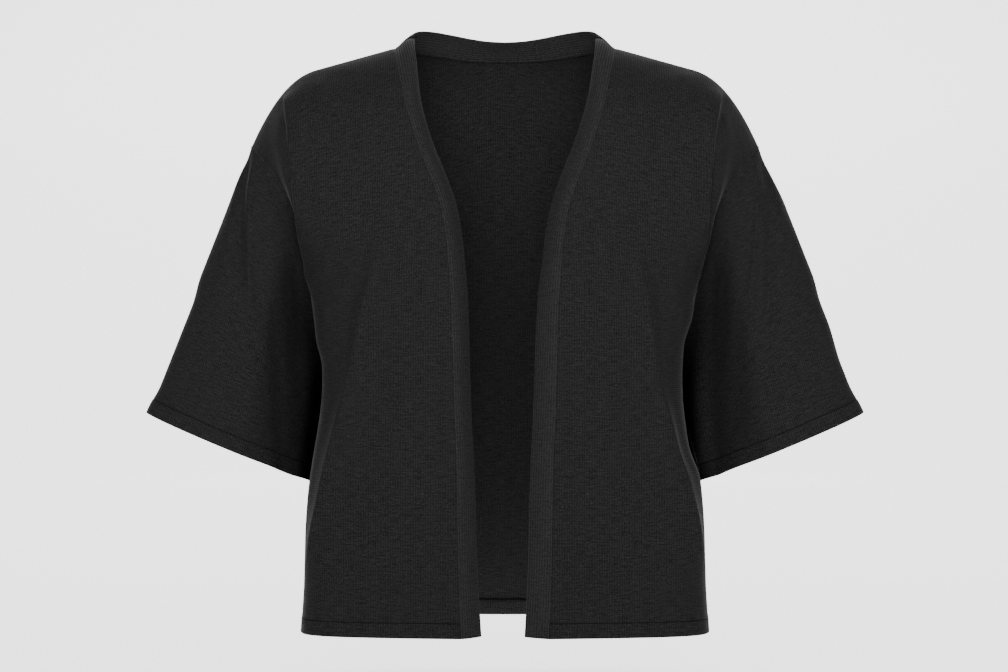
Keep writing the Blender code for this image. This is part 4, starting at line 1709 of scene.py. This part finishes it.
@dataclass
class Studio:
    """A plain pale paper sweep, soft lights in front, at both sides and behind, and a level camera."""

    camera_height: float = -0.284
    camera_distance: float = 2.65
    focal_px: float = 2650.0
    sensor_mm: float = 36.0
    centre_px: float = 505.0
    floor_height: float = -0.626
    paper_front: float = -2.4
    paper_back: float = 3.6
    paper_bend: float = 1.0
    bend_points: int = 24
    paper_top: float = 0.8
    paper_half_width: float = 1.7
    sky: float = 0.23

    def camera(self) -> bpy.types.Object:
        """Sets a level camera in front of the garment, shifted to put the middle where the photo has it.

        Returns:
            The camera.
        """
        data = bpy.data.cameras.new("camera")
        data.sensor_width = self.sensor_mm
        data.lens = self.focal_px / IMAGE_WIDTH_PX * self.sensor_mm
        data.shift_x = -(self.centre_px - IMAGE_WIDTH_PX / 2) / IMAGE_WIDTH_PX
        made = placed("camera", data)
        made.location = (0.0, -self.camera_distance, self.camera_height)
        made.rotation_euler = (math.pi / 2, 0.0, 0.0)
        bpy.context.scene.camera = made
        return made

    def sweep(self) -> bpy.types.Object:
        """Lays the paper: a level floor that bends up by a quarter circle into a wall, carried sideways.

        Returns:
            The paper.
        """
        turn = np.linspace(0, np.pi / 2, self.bend_points)
        y = np.concatenate([[self.paper_front], self.paper_back + self.paper_bend * np.sin(turn)])
        z = np.concatenate([[0.0], self.paper_bend * (1 - np.cos(turn))]) + self.floor_height
        y, z = np.append(y, y[-1]), np.append(z, self.paper_top)
        x = np.array([[-self.paper_half_width], [self.paper_half_width]])
        grid = np.stack(np.broadcast_arrays(x, y, z), axis=-1)
        made = mesh_object("studio_paper", grid[::-1] / MM, grid_faces(2, len(y)))
        made.data.materials.append(PAPER.material())
        return made

    def light(self, soft: SoftLight) -> bpy.types.Object:
        """Sets up one light, turned to its aim above or below the origin.

        Args:
            soft: Its row in the table.

        Returns:
            The light.
        """
        data = bpy.data.lights.new(soft.name, "AREA")
        data.shape = "SQUARE"
        data.size = soft.size
        data.energy = soft.power
        data.spread = math.radians(soft.spread)
        made = placed(soft.name, data)
        made.location = soft.place
        aim = Vector((0.0, 0.0, soft.aim_height)) - Vector(soft.place)
        made.rotation_euler = aim.to_track_quat("-Z", "Y").to_euler()
        return made

    def build(self) -> None:
        """Sets up the camera, the paper, the lights and the sky."""
        self.camera()
        self.sweep()
        for soft in LIGHTS:
            self.light(soft)
        world = bpy.data.worlds.new("studio")
        bpy.context.scene.world = world
        world.use_nodes = True
        sky = world.node_tree.nodes["Background"]
        sky.inputs["Color"].default_value = (1.0, 1.0, 1.0, 1.0)
        sky.inputs["Strength"].default_value = self.sky


def main() -> None:
    """Builds the cardigan piece by piece, and sets up the studio."""
    logging.basicConfig(level=logging.INFO, format="%(name)s: %(message)s")
    shell = BodyShell()
    jersey, rib = JERSEY.material(), RIB.material()
    panels = [
        FrontPanel("front_left_cloth", Side.LEFT, shell, jersey),
        FrontPanel("front_right_cloth", Side.RIGHT, shell, jersey),
        BackPanel("back_cloth", Side.BOTH, shell, jersey),
        Sleeve("sleeve_left_cloth", Side.LEFT, shell, jersey),
        Sleeve("sleeve_right_cloth", Side.RIGHT, shell, jersey),
    ]
    for panel in panels:
        piece = panel.build()
        log.info("%s: %d faces", piece.name, len(piece.data.polygons))
    band = NeckBand(shell, rib).build()
    log.info("%s: %d faces", band.name, len(band.data.polygons))
    Studio().build()


if __name__ == "__main__":
    main()
